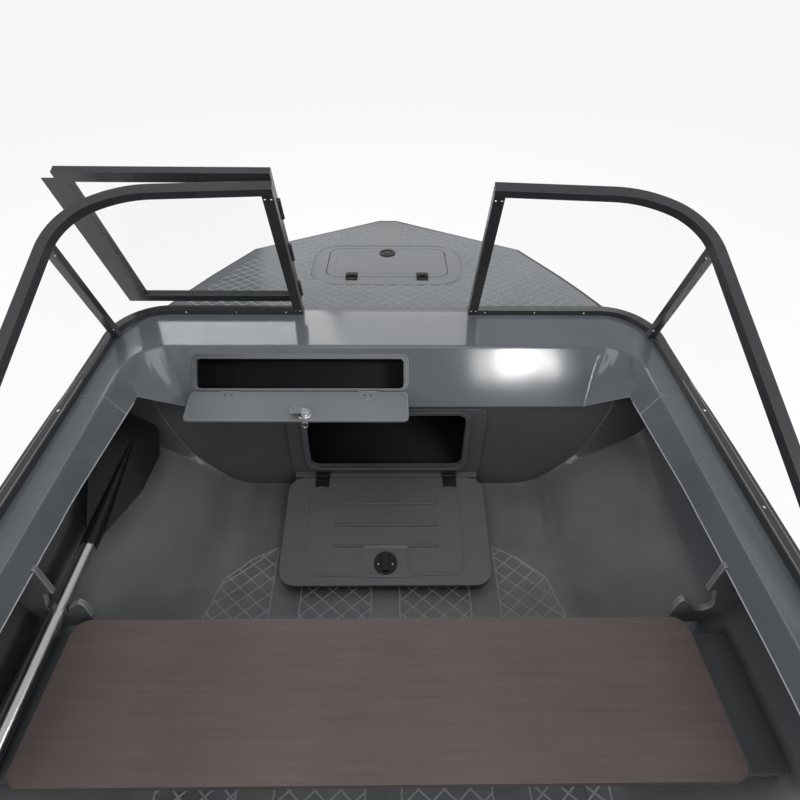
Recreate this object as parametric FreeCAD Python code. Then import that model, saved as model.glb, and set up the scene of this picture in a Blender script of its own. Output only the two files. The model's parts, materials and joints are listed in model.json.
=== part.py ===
import FreeCAD, Part
import math
import os

# Small open motor boat moulded in plastic, with a blunt bow, a decked foreship, a
# walk-through windscreen, a slanted dash with a glovebox, and a plank seat.
# Millimetres. +Y is the bow, +X is starboard, +Z is up. The origin is the centre of the
# footprint on the floor, and the three hull runners stand on z = 0.

V = FreeCAD.Vector
X_AXIS = V(1, 0, 0)
Y_AXIS = V(0, 1, 0)
Z_AXIS = V(0, 0, 1)

# How far cutters and blanks reach: past the whole boat, above it, and past one face
FAR = 2100.0
TALL = 900.0
PAST = 50.0

# Overall hull
BOW_Y = 1960.0
TRANSOM_Y = -1975.0
HALF_BEAM = 808.0
SHOULDER_Y = 250.0
STEM_Y = 1250.0
MOTOR_NOTCH_HALF = 260.0
MOTOR_NOTCH_Z = 520.0
MOTOR_NOTCH_CORNER = 40.0
MOTOR_NOTCH_FLARE = 60.0
MOTOR_NOTCH_LONG = 400.0

# Deck heights, along the boat
SHEER_SLOPE = 0.035
COWL_Z = 703.0
COWL_FRONT_Y = 1085.0
COWL_EDGE = 8.0
COWL_CORNER = 155.0
COWL_HALF = 803.0
COWL_LEVEL_Y = 1027.0
SCREEN_Y = 1047.0
RIDGE_Y = 888.0
RIDGE_Z = 690.0
FOREDECK_AFT_Z = 642.0
FOREDECK_BOW_Z = 608.0
DECK_THICK = 12.0
SHEER_DROP = 48.0
SIDE_DECK_WIDE = 95.0
OPENING_HALF = HALF_BEAM - SIDE_DECK_WIDE
OPENING_AFT_Y = -1640.0
OPENING_CORNER = 100.0
FLANGE_DROP = 66.0
FLANGE_IN = 10.0
EDGE_R = 6.0
CORNER_STEPS = 8

# Dash
DASH_LIP_Y = 780.0
DASH_LIP_Z = 556.0
DASH_END_IN = 41.0
DASH_END = (OPENING_HALF - DASH_END_IN, 748.0, 620.0)
DASH_LIP_HALF = 567.0
GLOVE_X0 = -537.0
GLOVE_X1 = 52.0
GLOVE_FROM_RIDGE = 36.0
GLOVE_HIGH = 84.0
GLOVE_DEEP = 190.0
GLOVE_WALL = 5.0
GLOVE_CORNER = 12.0
FLAP_THICK = 6.0
FLAP_LAP = 12.0
FLAP_LAP_LOW = 6.0
FLAP_CORNER = 14.0
FLAP_STAND = 4.5
FLAP_OPEN_DEG = 140.0
GLOVE_HINGE_X = (-440.0, -50.0)
GLOVE_HINGE_HALF = 26.0
GLOVE_HINGE_BELOW = 9.0
GLOVE_HINGE_OUT = 7.5
GLOVE_KNUCKLE_R = 3.0
LOCK_X = (GLOVE_X0 + GLOVE_X1) / 2 + 22.0
LOCK_R = 9.5
LOCK_RIM_R = 13.0
LOCK_LONG = 24.0
LOCK_FROM_TOP = 12.0

# Cockpit
FLOOR_Z = 150.0
STERN_Y = -1900.0
BULKHEAD_Y = 790.0
BULKHEAD_THICK = 12.0
PANEL_HALF = 295.0
PANEL_RAISED = 6.0
PANEL_CORNER = 30.0
DOORWAY_HALF = 238.0
DOORWAY_Z0 = 293.0
DOORWAY_Z1 = 520.0
DOORWAY_CORNER = 28.0

# Sloping locker box under the bulkhead, with its lid
LOCKER_HALF = 250.0
LOCKER_FLOOR_Z = 112.0
LOCKER_RIM = 30.0
LOCKER_RIM_FAR = 35.0
BOX_HALF = 288.0
BOX_Y0 = 455.0
LID_Y0 = 429.0
LID_Z0 = 200.0
LID_Y1 = 762.0
LID_Z1 = 271.0
LID_HALF = 303.0
LID_THICK = 14.0
LID_CORNER = 48.0
LID_GAP = 4.0
LID_LATCH_Y = 62.0
LID_LATCH_R = 33.0
LID_GRIP = (9.0, 26.0, 14.0)

# Foredeck hatch
HATCH_Y = 1536.0
HATCH_LONG = 248.0
HATCH_HALF = 224.0
HATCH_CORNER = 45.0
HATCH_GAP = 3.0
SEATED = 0.4
HATCH_THICK = DECK_THICK - SEATED
HATCH_COAMING = 40.0
HATCH_FLANGE = 30.0
HATCH_FLANGE_THICK = 6.0
HATCH_GUTTER = 22.0
LATCH_R = 31.0
LATCH_DISH_R = 22.0
LATCH_FROM_EDGE = 42.0

# Windscreen
SCREEN_RISE = 437.0
SCREEN_RAKE = 185.0
DOOR_HALF = 250.0
DOOR_GAP = 6.0
DOOR_AHEAD = 12.0
DOOR_LOW = 17.0
DOOR_HIGH = 491.0
DOOR_STOP_WIDE = 30.0
DOOR_STOP_THICK = 3.0
DOOR_HINGE = 60.0
BAR = 27.0
BAR_DEEP = 20.0
RAIL_OUT = 75.0
RAIL_X = OPENING_HALF + RAIL_OUT
RAIL_CORNER = 140.0
RAIL_DIP = 200.0
RAIL_AFT_Y = -50.0
RAIL_HIGH = 16.0
PANE = 4.0
PANE_LEAN = 40.0
PANE_CORNER = 130.0
TOP_RAIL_FRONT = (RAIL_X - 216.0, 832.0)
TOP_RAIL_SHOULDER = (RAIL_X - 76.0, 783.0, 1103.0)
TOP_RAIL_RADII = (340.0, 144.0)
TOP_RAIL_IN = 3.0
STRUT_FOOT = (RAIL_X - 20.0, 925.0)
STRUT_HEAD = (RAIL_X - 61.0, 735.0, 1071.0)
STRUT_WIDE = 21.6

# Oar
OAR_FROM_EDGE = 5.0
OAR_X = OAR_FROM_EDGE - OPENING_HALF
OAR_Z = 454.0
OAR_R = 17.5
OAR_WALL = 1.6
OAR_SLEEVE = 2.5
GRIP_LONG = 130.0
GRIP_LAP = 60.0
BLADE_THICK = 6.0
BLADE_SOCKET = 12.0
OAR_NECK_Y = 396.0
OAR_TIP_Y = 783.0
OAR_GRIP_Y = -975.0
OAR_TILT = 42.0
OAR_SLOPE = 2.9
BLADE_BEND = 4.0
HOOK_PLAY = 5.0
HOOK_FORE_Y = 229.0
HOOK_AFT_Y = -620.0
HOOK_THICK = 12.0

# Plank seat, cut short where the oar passes it
SEAT_Y0 = -95.0
SEAT_Y1 = 207.0
SEAT_OAR_GAP = 30.5
SEAT_HALF = -OAR_X - OAR_R - SEAT_OAR_GAP
SEAT_Z = 450.0
SEAT_THICK = 21.0
SEAT_CORNER = 30.0
BEARER_LAP = 60.0
BEARER_HIGH = 34.0
BEARER_SET_BACK = 20.0
CHANNEL_GAP = 14.0
CHANNEL_DEEP = 17.0

# Fittings
RUB_WIDE = 14.0
RUB_HIGH = 34.0
RUB_BELOW = 2.0
BENCH_LONG = 380.0
BENCH_Z = 430.0
ROWLOCK_Y = -290.0
ROWLOCK_R = 6.5
ROWLOCK_WALL = 6.0
ROWLOCK_LONG = 55.0
ROWLOCK_PLATE = (26.0, 45.0, 14.0)
BOW_EYE_Y = 1885.0
BOW_EYE_OUT = 18.0
BOW_EYE_R = 8.0
BOW_EYE_THICK = 8.0
BOW_EYE_FOOT = (38.0, -12.0)
BOW_EYE_TOP = (26.0, 36.0, 16.0)

# Hinges
KNUCKLE_R = 5.0
PIN_R = 2.0
PIN_PLAY = 0.05
HINGE_WIDE = 42.0
LEAF_THICK = 3.0
LEAF_GAP = 0.5
HATCH_HINGE_X = 129.0
LID_HINGE_X = 200.0

# Hull stations. Columns: y, half beam at the sheer, chine x, chine z, runner outer x,
# runner inner x, runner z, tunnel x, tunnel z, keel half width, keel z
STATIONS = [
    (TRANSOM_Y, HALF_BEAM - 20, 745.0, 130.0, 655.0, 560.0, 0.0, 320.0, 80.0, 45.0, 0.0),
    (-600.0, HALF_BEAM - 2, 755.0, 135.0, 655.0, 560.0, 0.0, 320.0, 85.0, 45.0, 0.0),
    (500.0, HALF_BEAM, 755.0, 160.0, 640.0, 550.0, 0.0, 315.0, 95.0, 45.0, 0.0),
    (900.0, HALF_BEAM - 16, 728.0, 200.0, 600.0, 520.0, 36.0, 300.0, 125.0, 42.0, 12.0),
    (1300.0, 676.0, 602.0, 285.0, 490.0, 425.0, 130.0, 245.0, 200.0, 36.0, 70.0),
    (1660.0, 514.0, 440.0, 400.0, 355.0, 310.0, 275.0, 180.0, 320.0, 28.0, 190.0),
]
NOSE = (BOW_Y, 32.0, 30.0, 540.0, 26.0, 22.0, 515.0, 14.0, 520.0, 6.0, 500.0)

# Inner face of the cockpit and bow locker. Columns: y, floor half width, floor z,
# knee x, knee z, wall x, wall z, top x
CAVITY = [
    (STERN_Y, 505.0, FLOOR_Z, 640.0, 280.0, HALF_BEAM - 53, 430.0, HALF_BEAM - 48),
    (-600.0, 505.0, FLOOR_Z, 640.0, 280.0, HALF_BEAM - 33, 430.0, HALF_BEAM - 28),
    (350.0, 505.0, FLOOR_Z, 640.0, 280.0, HALF_BEAM - 28, 430.0, HALF_BEAM - 23),
    (560.0, 470.0, 165.0, 632.0, 300.0, HALF_BEAM - 30, 435.0, HALF_BEAM - 25),
    (BULKHEAD_Y - 16.0, 476.0, 205.0, 610.0, 350.0, HALF_BEAM - 34, 460.0, HALF_BEAM - 28),
    (BULKHEAD_Y, 478.0, 210.0, 606.0, 358.0, 652.0, 530.0, 665.0),
    (1250.0, 330.0, 300.0, 470.0, 380.0, 560.0, 520.0, 590.0),
    (1720.0, 150.0, 430.0, 230.0, 470.0, 310.0, 545.0, 345.0),
]
CAVITY_TOP = 760.0
LINER_ROUND = 60.0


def deck_z(y):
    """Top of the side decks, which rise towards the bow."""
    return RIDGE_Z - (RIDGE_Y - y) * SHEER_SLOPE


def foredeck_z(y):
    """Top of the foredeck, which falls towards the bow."""
    share = (y - COWL_FRONT_Y) / (BOW_Y + PAST - COWL_FRONT_Y)
    return FOREDECK_AFT_Z + (FOREDECK_BOW_Z - FOREDECK_AFT_Z) * share


def sheer_z(y):
    """Height where the flared topside turns upright, under the rub rail."""
    return min(deck_z(y), foredeck_z(y)) - SHEER_DROP


def wire_of(points):
    """Closed wire through (vector, corner radius) pairs, with an arc at each radius."""
    n = len(points)
    cuts = []
    for i in range(n):
        p, r = points[i]
        before = (points[i - 1][0] - p).normalize()
        after = (points[(i + 1) % n][0] - p).normalize()
        if r <= 0:
            cuts.append((p, p, p))
            continue
        half = before.getAngle(after) / 2
        reach = r / math.tan(half)
        centre = p + (before + after).normalize() * (r / math.sin(half))
        middle = centre + (p - centre).normalize() * r
        cuts.append((p + before * reach, middle, p + after * reach))
    edges = []
    for i in range(n):
        start, middle, end = cuts[i]
        if points[i][1] > 0:
            edges.append(Part.Arc(start, middle, end).toShape())
        nxt = cuts[(i + 1) % n][0]
        if end.distanceToPoint(nxt) > 1e-6:
            edges.append(Part.LineSegment(end, nxt).toShape())
    return Part.Wire(edges)


def prism_z(outline, z0, z1):
    """Solid from a plan outline of (x, y, radius)."""
    pts = [(V(x, y, z0), r) for x, y, r in outline]
    return Part.Face(wire_of(pts)).extrude(V(0, 0, z1 - z0))


def prism_x(outline, x0, x1):
    """Solid from a side outline of (y, z, radius)."""
    pts = [(V(x0, y, z), r) for y, z, r in outline]
    return Part.Face(wire_of(pts)).extrude(V(x1 - x0, 0, 0))


def prism_y(outline, y0, y1):
    """Solid from an end outline of (x, z, radius)."""
    pts = [(V(x, y0, z), r) for x, z, r in outline]
    return Part.Face(wire_of(pts)).extrude(V(0, y1 - y0, 0))


def box(x0, x1, y0, y1, z0, z1):
    return Part.makeBox(x1 - x0, y1 - y0, z1 - z0, V(x0, y0, z0))


def slab(y0, y1, z0, z1):
    """Everything between two places along the boat and two heights."""
    return box(-FAR, FAR, y0, y1, z0, z1)


def side_of(sign):
    """Everything to starboard (1) or to port (-1)."""
    return box(min(0, sign * FAR), max(0, sign * FAR), -FAR, FAR, 0, TALL)


def rectangle(x0, x1, y0, y1, r):
    return [(x0, y0, r), (x1, y0, r), (x1, y1, r), (x0, y1, r)]


def mirrored(shape):
    return shape.mirror(V(0, 0, 0), X_AXIS)


def outward(solid):
    """The solid with its faces turned outward, as a loft may leave them inside out."""
    if solid.Volume < 0:
        solid.reverse()
    return solid


def largest(shape):
    return max(shape.Solids, key=lambda one: one.Volume)


def merged(shapes):
    whole = shapes[0].multiFuse(shapes[1:])
    return whole.removeSplitter()


def bar_along(points, radii, wide, deep, up):
    """Straight and bent bar of rectangular section through the points, bent at radii."""
    start = points[0]
    way = (points[1] - points[0]).normalize()
    side = way.cross(up).normalize()
    rise = side.cross(way).normalize()
    corners = [(-1, -1), (1, -1), (1, 1), (-1, 1)]
    pts = [start + side * (a * wide / 2) + rise * (b * deep / 2) for a, b in corners]
    face = Part.Face(Part.makePolygon(pts + [pts[0]]))
    at = start
    solids = []
    for i in range(1, len(points)):
        way = (points[i] - points[i - 1]).normalize()
        if i == len(points) - 1:
            solids.append(face.extrude(points[i] - at))
            break
        onward = (points[i + 1] - points[i]).normalize()
        turn = way.getAngle(onward)
        reach = radii[i - 1] * math.tan(turn / 2)
        stop = points[i] - way * reach
        solids.append(face.extrude(stop - at))
        face = face.translated(stop - at)
        axis = way.cross(onward).normalize()
        centre = stop + axis.cross(way).normalize() * radii[i - 1]
        degrees = math.degrees(turn)
        solids.append(face.revolve(centre, axis, degrees))
        face = face.copy()
        face.rotate(centre, axis, degrees)
        at = points[i] + onward * reach
    return merged(solids)


def rod(start, end, radius):
    return Part.makeCylinder(radius, start.distanceToPoint(end), start, end - start)


# Hull

def hull_wire(row):
    """One hull station as a closed wire, carried up past the deck."""
    y, beam, chine_x, chine_z, out_x, in_x, run_z, tun_x, tun_z, keel_x, keel_z = row
    half = [
        (keel_x, keel_z),
        (tun_x, tun_z),
        (in_x, run_z),
        (out_x, run_z),
        (chine_x, chine_z),
        (beam, sheer_z(y)),
        (beam, TALL),
    ]
    pts = [V(x, y, z) for x, z in half] + [V(-x, y, z) for x, z in reversed(half)]
    return Part.makePolygon(pts + [pts[0]])


def between(rows, parts):
    """Rows with parts - 1 more set between each two, on a smooth curve through them all."""
    out = []
    last = len(rows) - 1
    for i in range(last):
        a, b = rows[i], rows[i + 1]
        before, after = rows[max(i - 1, 0)], rows[min(i + 2, last)]
        span = b[0] - a[0]
        for k in range(parts):
            f = k / parts
            row = [a[0] + span * f]
            for c in range(1, len(a)):
                rate_a = slope_at(before, a, b, c) * span
                rate_b = slope_at(a, b, after, c) * span
                h1 = 2 * f ** 3 - 3 * f ** 2 + 1
                h2 = f ** 3 - 2 * f ** 2 + f
                h3 = 3 * f ** 2 - 2 * f ** 3
                h4 = f ** 3 - f ** 2
                row.append(h1 * a[c] + h2 * rate_a + h3 * b[c] + h4 * rate_b)
            out.append(row)
    out.append(list(rows[last]))
    return out


def slope_at(before, here, after, c):
    """Rate of change of a column at a row, without overshoot where the column turns."""
    left = (here[c] - before[c]) / (here[0] - before[0]) if here[0] > before[0] else None
    right = (after[c] - here[c]) / (after[0] - here[0]) if after[0] > here[0] else None
    if left is None:
        return right
    if right is None:
        return left
    if left * right <= 0:
        return 0.0
    return 2 * left * right / (left + right)


def hull_body():
    rows = between(STATIONS, 3)
    body = Part.makeLoft([hull_wire(r) for r in rows], True, True)
    nose = Part.makeLoft([hull_wire(rows[-1]), hull_wire(NOSE)], True, True)
    return body.fuse(nose)


def below_deck(sunk):
    """Everything below the deck's top, sunk by a wall: the high aft part and the foredeck."""
    aft, front = TRANSOM_Y - PAST, COWL_FRONT_Y
    high = prism_x([
        (aft, -PAST, 0), (front, -PAST, 0), (front, COWL_Z - COWL_EDGE - sunk, 0),
        (front - COWL_EDGE, COWL_Z - sunk, 0), (COWL_LEVEL_Y, COWL_Z - sunk, 0),
        (RIDGE_Y, RIDGE_Z - sunk, 0), (aft, deck_z(aft) - sunk, 0),
    ], -FAR, FAR)
    ahead = prism_x([
        (RIDGE_Y, -PAST, 0), (BOW_Y + PAST, -PAST, 0), (BOW_Y + PAST, FOREDECK_BOW_Z - sunk, 0),
        (RIDGE_Y, foredeck_z(RIDGE_Y) - sunk, 0),
    ], -FAR, FAR)
    return high.common(cowl_plan(sunk)).fuse(ahead)


def cowl_plan(sunk):
    """Plan of the high part of the deck: round corners in front, past the hull behind."""
    r = COWL_CORNER - sunk
    x, y = COWL_HALF - COWL_CORNER, COWL_FRONT_Y - COWL_CORNER
    middle = prism_z(rectangle(-x, x, y - PAST, y + r, 0), -PAST, TALL)
    shapes = [slab(TRANSOM_Y - PAST, y, -PAST, TALL)]
    for k in (1, -1):
        shapes.append(Part.makeCylinder(r, TALL + PAST, V(k * x, y, -PAST)))
    return middle.multiFuse(shapes)


def under_deck():
    """Everything below the underside of the deck."""
    return below_deck(DECK_THICK)


def motor_notch():
    half, far = MOTOR_NOTCH_HALF, MOTOR_NOTCH_HALF + MOTOR_NOTCH_FLARE
    return prism_y([
        (-half, MOTOR_NOTCH_Z, MOTOR_NOTCH_CORNER), (half, MOTOR_NOTCH_Z, MOTOR_NOTCH_CORNER),
        (far, TALL, 0), (-far, TALL, 0),
    ], TRANSOM_Y - PAST, TRANSOM_Y + MOTOR_NOTCH_LONG)


def cavity_wire(row):
    y, floor_x, floor_z, knee_x, knee_z, wall_x, wall_z, top_x = row
    line = [(0.0, floor_z), (floor_x, floor_z), (knee_x, knee_z), (wall_x, wall_z),
            (top_x, CAVITY_TOP)]
    half = []
    for i in (1, 2, 3):
        half += softened(line[i - 1], line[i], line[i + 1])
    half.append(line[-1])
    pts = [V(x, y, z) for x, z in half] + [V(-x, y, z) for x, z in reversed(half)]
    return Part.makePolygon(pts + [pts[0]])


def softened(before, here, after):
    """Four points that round a corner of the liner off."""
    legs = []
    for end in (before, after):
        dx, dz = end[0] - here[0], end[1] - here[1]
        long = math.hypot(dx, dz)
        reach = min(LINER_ROUND, 0.42 * long)
        legs.append((here[0] + dx / long * reach, here[1] + dz / long * reach))
    out = []
    for f in (0.0, 1 / 3, 2 / 3, 1.0):
        a, b, c = (1 - f) ** 2, 2 * f * (1 - f), f ** 2
        out.append(tuple(a * legs[0][k] + b * here[k] + c * legs[1][k] for k in (0, 1)))
    return out


def cavity():
    return Part.makeLoft([cavity_wire(r) for r in CAVITY], True, True)


def hull_pieces(inner, deck):
    """The foam-filled double skin, parted into bottom, sides, shoulders, bow and stern."""
    whole = hull_body().common(under_deck()).cut(inner).cut(motor_notch())
    whole = whole.cut(locker_hollow()).cut(deck)
    amid = whole.common(slab(STERN_Y, SHOULDER_Y, FLOOR_Z, TALL))
    ahead = whole.common(slab(SHOULDER_Y, BULKHEAD_Y, FLOOR_Z, TALL))
    stern = whole.common(slab(TRANSOM_Y - PAST, STERN_Y, FLOOR_Z, TALL))
    return {
        "hull_bottom": whole.common(slab(TRANSOM_Y - PAST, BULKHEAD_Y, -PAST, FLOOR_Z)),
        "hull_side_starboard": amid.common(side_of(1)),
        "hull_side_port": amid.common(side_of(-1)),
        "hull_shoulder_starboard": largest(ahead.common(side_of(1))),
        "hull_shoulder_port": largest(ahead.common(side_of(-1))),
        "hull_bow": largest(whole.common(slab(BULKHEAD_Y, STEM_Y, -PAST, TALL))),
        "hull_stem": whole.common(slab(STEM_Y, BOW_Y + PAST, -PAST, TALL)),
        "hull_stern": stern.common(slab(TRANSOM_Y - PAST, STERN_Y, 0, MOTOR_NOTCH_Z)),
        "hull_quarters": stern.common(slab(TRANSOM_Y - PAST, STERN_Y, MOTOR_NOTCH_Z, TALL)),
    }


# Deck

def deck_plan(grow):
    """Plan outline of the deck, the hull's edge moved out by grow."""
    starboard = [(r[1] + grow, r[0]) for r in between(STATIONS, 3)]
    nose = (NOSE[1] + grow * 0.3, NOSE[0] + grow)
    starboard.append(nose)
    pts = starboard + [(-x, y) for x, y in reversed(starboard)]
    return prism_z([(x, y, 0) for x, y in pts], SEAT_Z, TALL)


def deck_band():
    """Deck skin, between the top of the deck and what lies below it."""
    return below_deck(0).cut(under_deck())


def deck_top(y):
    """Top of the deck beside and just ahead of the cockpit opening."""
    if y <= RIDGE_Y:
        return deck_z(y)
    return RIDGE_Z + (y - RIDGE_Y) * (COWL_Z - RIDGE_Z) / (COWL_LEVEL_Y - RIDGE_Y)


def rim_places():
    """Starboard half of the cockpit rim: edge point, lip point, inward and deck headings."""
    r = OPENING_CORNER
    down = dash_axes()[0]
    behind = V(0, -down.z, down.y)
    places = [(V(0, OPENING_AFT_Y, 0), None, -90.0)]
    for k in range(CORNER_STEPS + 1):
        turn = -90.0 + 90.0 * k / CORNER_STEPS
        places.append((round_corner(OPENING_AFT_Y + r, turn), None, turn))
    for y, inboard in ((100.0, FLANGE_IN), (406.0, FLANGE_IN + 6)):
        places.append((V(OPENING_HALF, y, 0), inboard, 0.0))
    for k in range(CORNER_STEPS + 1):
        share = k / CORNER_STEPS
        end = V(*DASH_END)
        lip = end + (V(DASH_LIP_HALF, DASH_LIP_Y, DASH_LIP_Z) - end) * share
        places.append((round_corner(RIDGE_Y - r, 90.0 * share), lip, 90.0 * share))
    places.append((V(0, RIDGE_Y, 0), V(0, DASH_LIP_Y, DASH_LIP_Z), 90.0))
    rows = []
    for edge, lip, turn in places:
        edge = V(edge.x, edge.y, deck_top(edge.y))
        a = math.radians(turn)
        level = V(math.cos(a), math.sin(a), 0)
        if not isinstance(lip, V):
            lip = edge - level * (lip or FLANGE_IN) - Z_AXIS * FLANGE_DROP
        back = level
        if edge.y > RIDGE_Y - r:
            back = (X_AXIS * math.cos(a) + behind * math.sin(a)).normalize()
        rows.append((edge, lip, level, back))
    return rows


def round_corner(centre_y, turn):
    """Point on the corner arc of the opening, turned from starboard towards the bow."""
    a = math.radians(turn)
    centre_x = OPENING_HALF - OPENING_CORNER
    return V(centre_x + OPENING_CORNER * math.cos(a), centre_y + OPENING_CORNER * math.sin(a), 0)


def deck_edge(edge, level):
    """Where the flat deck ends and the rounded edge of the opening begins."""
    p = edge + level * EDGE_R
    return V(p.x, p.y, deck_top(p.y))


def opening_prism():
    """Upright cutter through the deck at the cockpit opening."""
    half = [deck_edge(edge, level) for edge, lip, level, back in rim_places()]
    outline = [(p.x, p.y, 0) for p in half[1:-1]]
    return prism_z(outline + [(-x, y, r) for x, y, r in reversed(outline)], SEAT_Z, TALL)


def rim():
    """Starboard half of the turned-down lip round the cockpit, with the slanted dash."""
    wires = []
    for edge, lip, level, back in rim_places():
        down = (lip - edge).normalize()
        start = deck_edge(edge, level)
        middle = edge + (level + down) * (EDGE_R * 0.293)
        inner = edge + back * DECK_THICK - Z_AXIS * (DECK_THICK / 2 * abs(level.x))
        pts = [start, middle, edge + down * EDGE_R, lip, lip + back * DECK_THICK, inner]
        wires.append(Part.makePolygon(pts + [pts[0]]))
    return outward(Part.makeLoft(wires, True, True))


def deck_moulding():
    """The whole deck in one, with its turned-down lip and the dash."""
    skin = deck_band().common(deck_plan(0)).cut(opening_prism())
    half = rim()
    deck = skin.fuse(half).fuse(mirrored(half))
    return deck.cut(hatch_hole()).cut(glove_cutter(0)).cut(motor_notch())


def deck_pieces(deck):
    """The deck moulding, parted at the cowl and at the ends of the cockpit opening."""
    aft, fore = OPENING_AFT_Y + OPENING_CORNER, DASH_LIP_Y - OPENING_CORNER
    amid = deck.common(slab(aft, fore, 0, TALL))
    return {
        "foredeck": deck.common(slab(COWL_FRONT_Y - DECK_THICK, BOW_Y + PAST, 0, TALL)),
        "cowl": deck.common(slab(fore, COWL_FRONT_Y - DECK_THICK, 0, TALL)),
        "side_deck_starboard": amid.common(side_of(1)),
        "side_deck_port": amid.common(side_of(-1)),
        "aft_deck": deck.common(slab(TRANSOM_Y - PAST, aft, 0, TALL)),
    }


# Foredeck hatch

def foredeck_slope():
    return math.degrees(math.atan2(FOREDECK_AFT_Z - FOREDECK_BOW_Z, BOW_Y + PAST - COWL_FRONT_Y))


def on_foredeck(shape):
    """Carries a shape built on z = 0 about the hatch centre onto the sloping foredeck."""
    shape.rotate(V(0, 0, 0), X_AXIS, -foredeck_slope())
    shape.translate(V(0, HATCH_Y, foredeck_z(HATCH_Y)))
    return shape


def hatch_hole():
    g = HATCH_GAP
    plan = rectangle(-HATCH_HALF - g, HATCH_HALF + g, -HATCH_LONG / 2 - g, HATCH_LONG / 2 + g,
                     HATCH_CORNER + g)
    return on_foredeck(prism_z(plan, -PAST, PAST))


def hatch_frame():
    """Coaming under the hatch: a gutter ring that the lid closes on."""
    half, long = HATCH_HALF, HATCH_LONG / 2
    under = -DECK_THICK - HATCH_FLANGE_THICK

    def ring_plan(grow):
        return rectangle(-half - grow, half + grow, -long - grow, long + grow, HATCH_CORNER + grow)

    flange = prism_z(ring_plan(HATCH_FLANGE), under, -DECK_THICK)
    wall = prism_z(ring_plan(HATCH_GAP), -HATCH_COAMING, under)
    mouth = prism_z(ring_plan(-HATCH_GUTTER), -HATCH_COAMING - PAST, PAST)
    return on_foredeck(merged([flange, wall]).cut(mouth))


def hatch_lid():
    half, long = HATCH_HALF, HATCH_LONG / 2
    lid = prism_z(rectangle(-half, half, -long, long, HATCH_CORNER), -HATCH_THICK, 0)
    return on_foredeck(lid)


def hatch_latch():
    y = HATCH_LONG / 2 - LATCH_FROM_EDGE
    base = Part.makeCylinder(LATCH_R, 4, V(0, y, 0))
    dish = Part.makeCylinder(LATCH_DISH_R, 4, V(0, y, 2))
    return on_foredeck(base.cut(dish))


def hatch_axis():
    """Point on the lid's hinge line."""
    return V(0, -HATCH_LONG / 2 - HATCH_GAP / 2, KNUCKLE_R + 1.0)


def hatch_hinge(x):
    """Lid leaf with the middle knuckle of one hinge."""
    p = hatch_axis()
    half = HINGE_WIDE / 2
    leaf = box(x - half, x + half, -HATCH_LONG / 2 + 4, -HATCH_LONG / 2 + 30, 0, LEAF_THICK)
    arm = box(x - half / 3, x + half / 3, p.y, -HATCH_LONG / 2 + 10, 1.5, KNUCKLE_R + 2)
    knuckle = Part.makeCylinder(KNUCKLE_R, half * 2 / 3, V(x - half / 3, p.y, p.z), X_AXIS)
    hole = Part.makeCylinder(PIN_R + PIN_PLAY, HINGE_WIDE, V(x - half, p.y, p.z), X_AXIS)
    return on_foredeck(merged([leaf, arm, knuckle]).cut(hole))


def end_knuckles(x):
    """Ends of the two outer knuckles of a hinge about x."""
    half = HINGE_WIDE / 2
    return ((x - half, x - half / 3 - LEAF_GAP), (x + half / 3 + LEAF_GAP, x + half))


def hinge_pin(x, p):
    long = HINGE_WIDE - 2 * LEAF_GAP
    return Part.makeCylinder(PIN_R, long, V(x - long / 2, p.y, p.z), X_AXIS)


def hatch_hinge_leaf(x):
    """Deck leaf with the outer knuckles and the pin of one hinge."""
    p = hatch_axis()
    half = HINGE_WIDE / 2
    back = p.y - HATCH_GAP / 2
    pieces = [box(x - half, x + half, back - 24, back - 4, 0, LEAF_THICK), hinge_pin(x, p)]
    for x0, x1 in end_knuckles(x):
        pieces.append(box(x0, x1, back - 10, p.y, 1.5, KNUCKLE_R + 2))
        pieces.append(Part.makeCylinder(KNUCKLE_R, x1 - x0, V(x0, p.y, p.z), X_AXIS))
    return on_foredeck(merged(pieces))


# Glovebox, set into the slanted dash face

def dash_axes():
    down = V(0, DASH_LIP_Y - RIDGE_Y, DASH_LIP_Z - RIDGE_Z).normalize()
    out = V(0, down.z, -down.y)
    return down, out


def dash_point(x, s, n):
    """Point on the dash face: x across, s down from the ridge, n out of the face."""
    down, out = dash_axes()
    return V(x, RIDGE_Y, RIDGE_Z) + down * s + out * n


def dash_prism(x0, x1, s0, s1, r, n0, n1):
    corners = [(x0, s0), (x1, s0), (x1, s1), (x0, s1)]
    pts = [(dash_point(x, s, n0), r) for x, s in corners]
    out = dash_axes()[1]
    return Part.Face(wire_of(pts)).extrude(out * (n1 - n0))


def glove_cutter(grow):
    return dash_prism(GLOVE_X0 - grow, GLOVE_X1 + grow, GLOVE_FROM_RIDGE - grow,
                      GLOVE_FROM_RIDGE + GLOVE_HIGH + grow, GLOVE_CORNER + grow, -PAST, PAST)


def glove_bin():
    s0, s1 = GLOVE_FROM_RIDGE, GLOVE_FROM_RIDGE + GLOVE_HIGH
    w = GLOVE_WALL
    t = DECK_THICK
    outer = dash_prism(GLOVE_X0 - w, GLOVE_X1 + w, s0 - w, s1 + w, GLOVE_CORNER + w,
                       -GLOVE_DEEP - w, -t)
    inner = dash_prism(GLOVE_X0, GLOVE_X1, s0, s1, GLOVE_CORNER, -GLOVE_DEEP, PAST)
    return outer.cut(inner)


def glove_hinge_axis():
    return dash_point(0, GLOVE_FROM_RIDGE + GLOVE_HIGH + GLOVE_HINGE_BELOW, GLOVE_HINGE_OUT)


def glove_open(shape):
    shape.rotate(glove_hinge_axis(), X_AXIS, FLAP_OPEN_DEG)
    return shape


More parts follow.
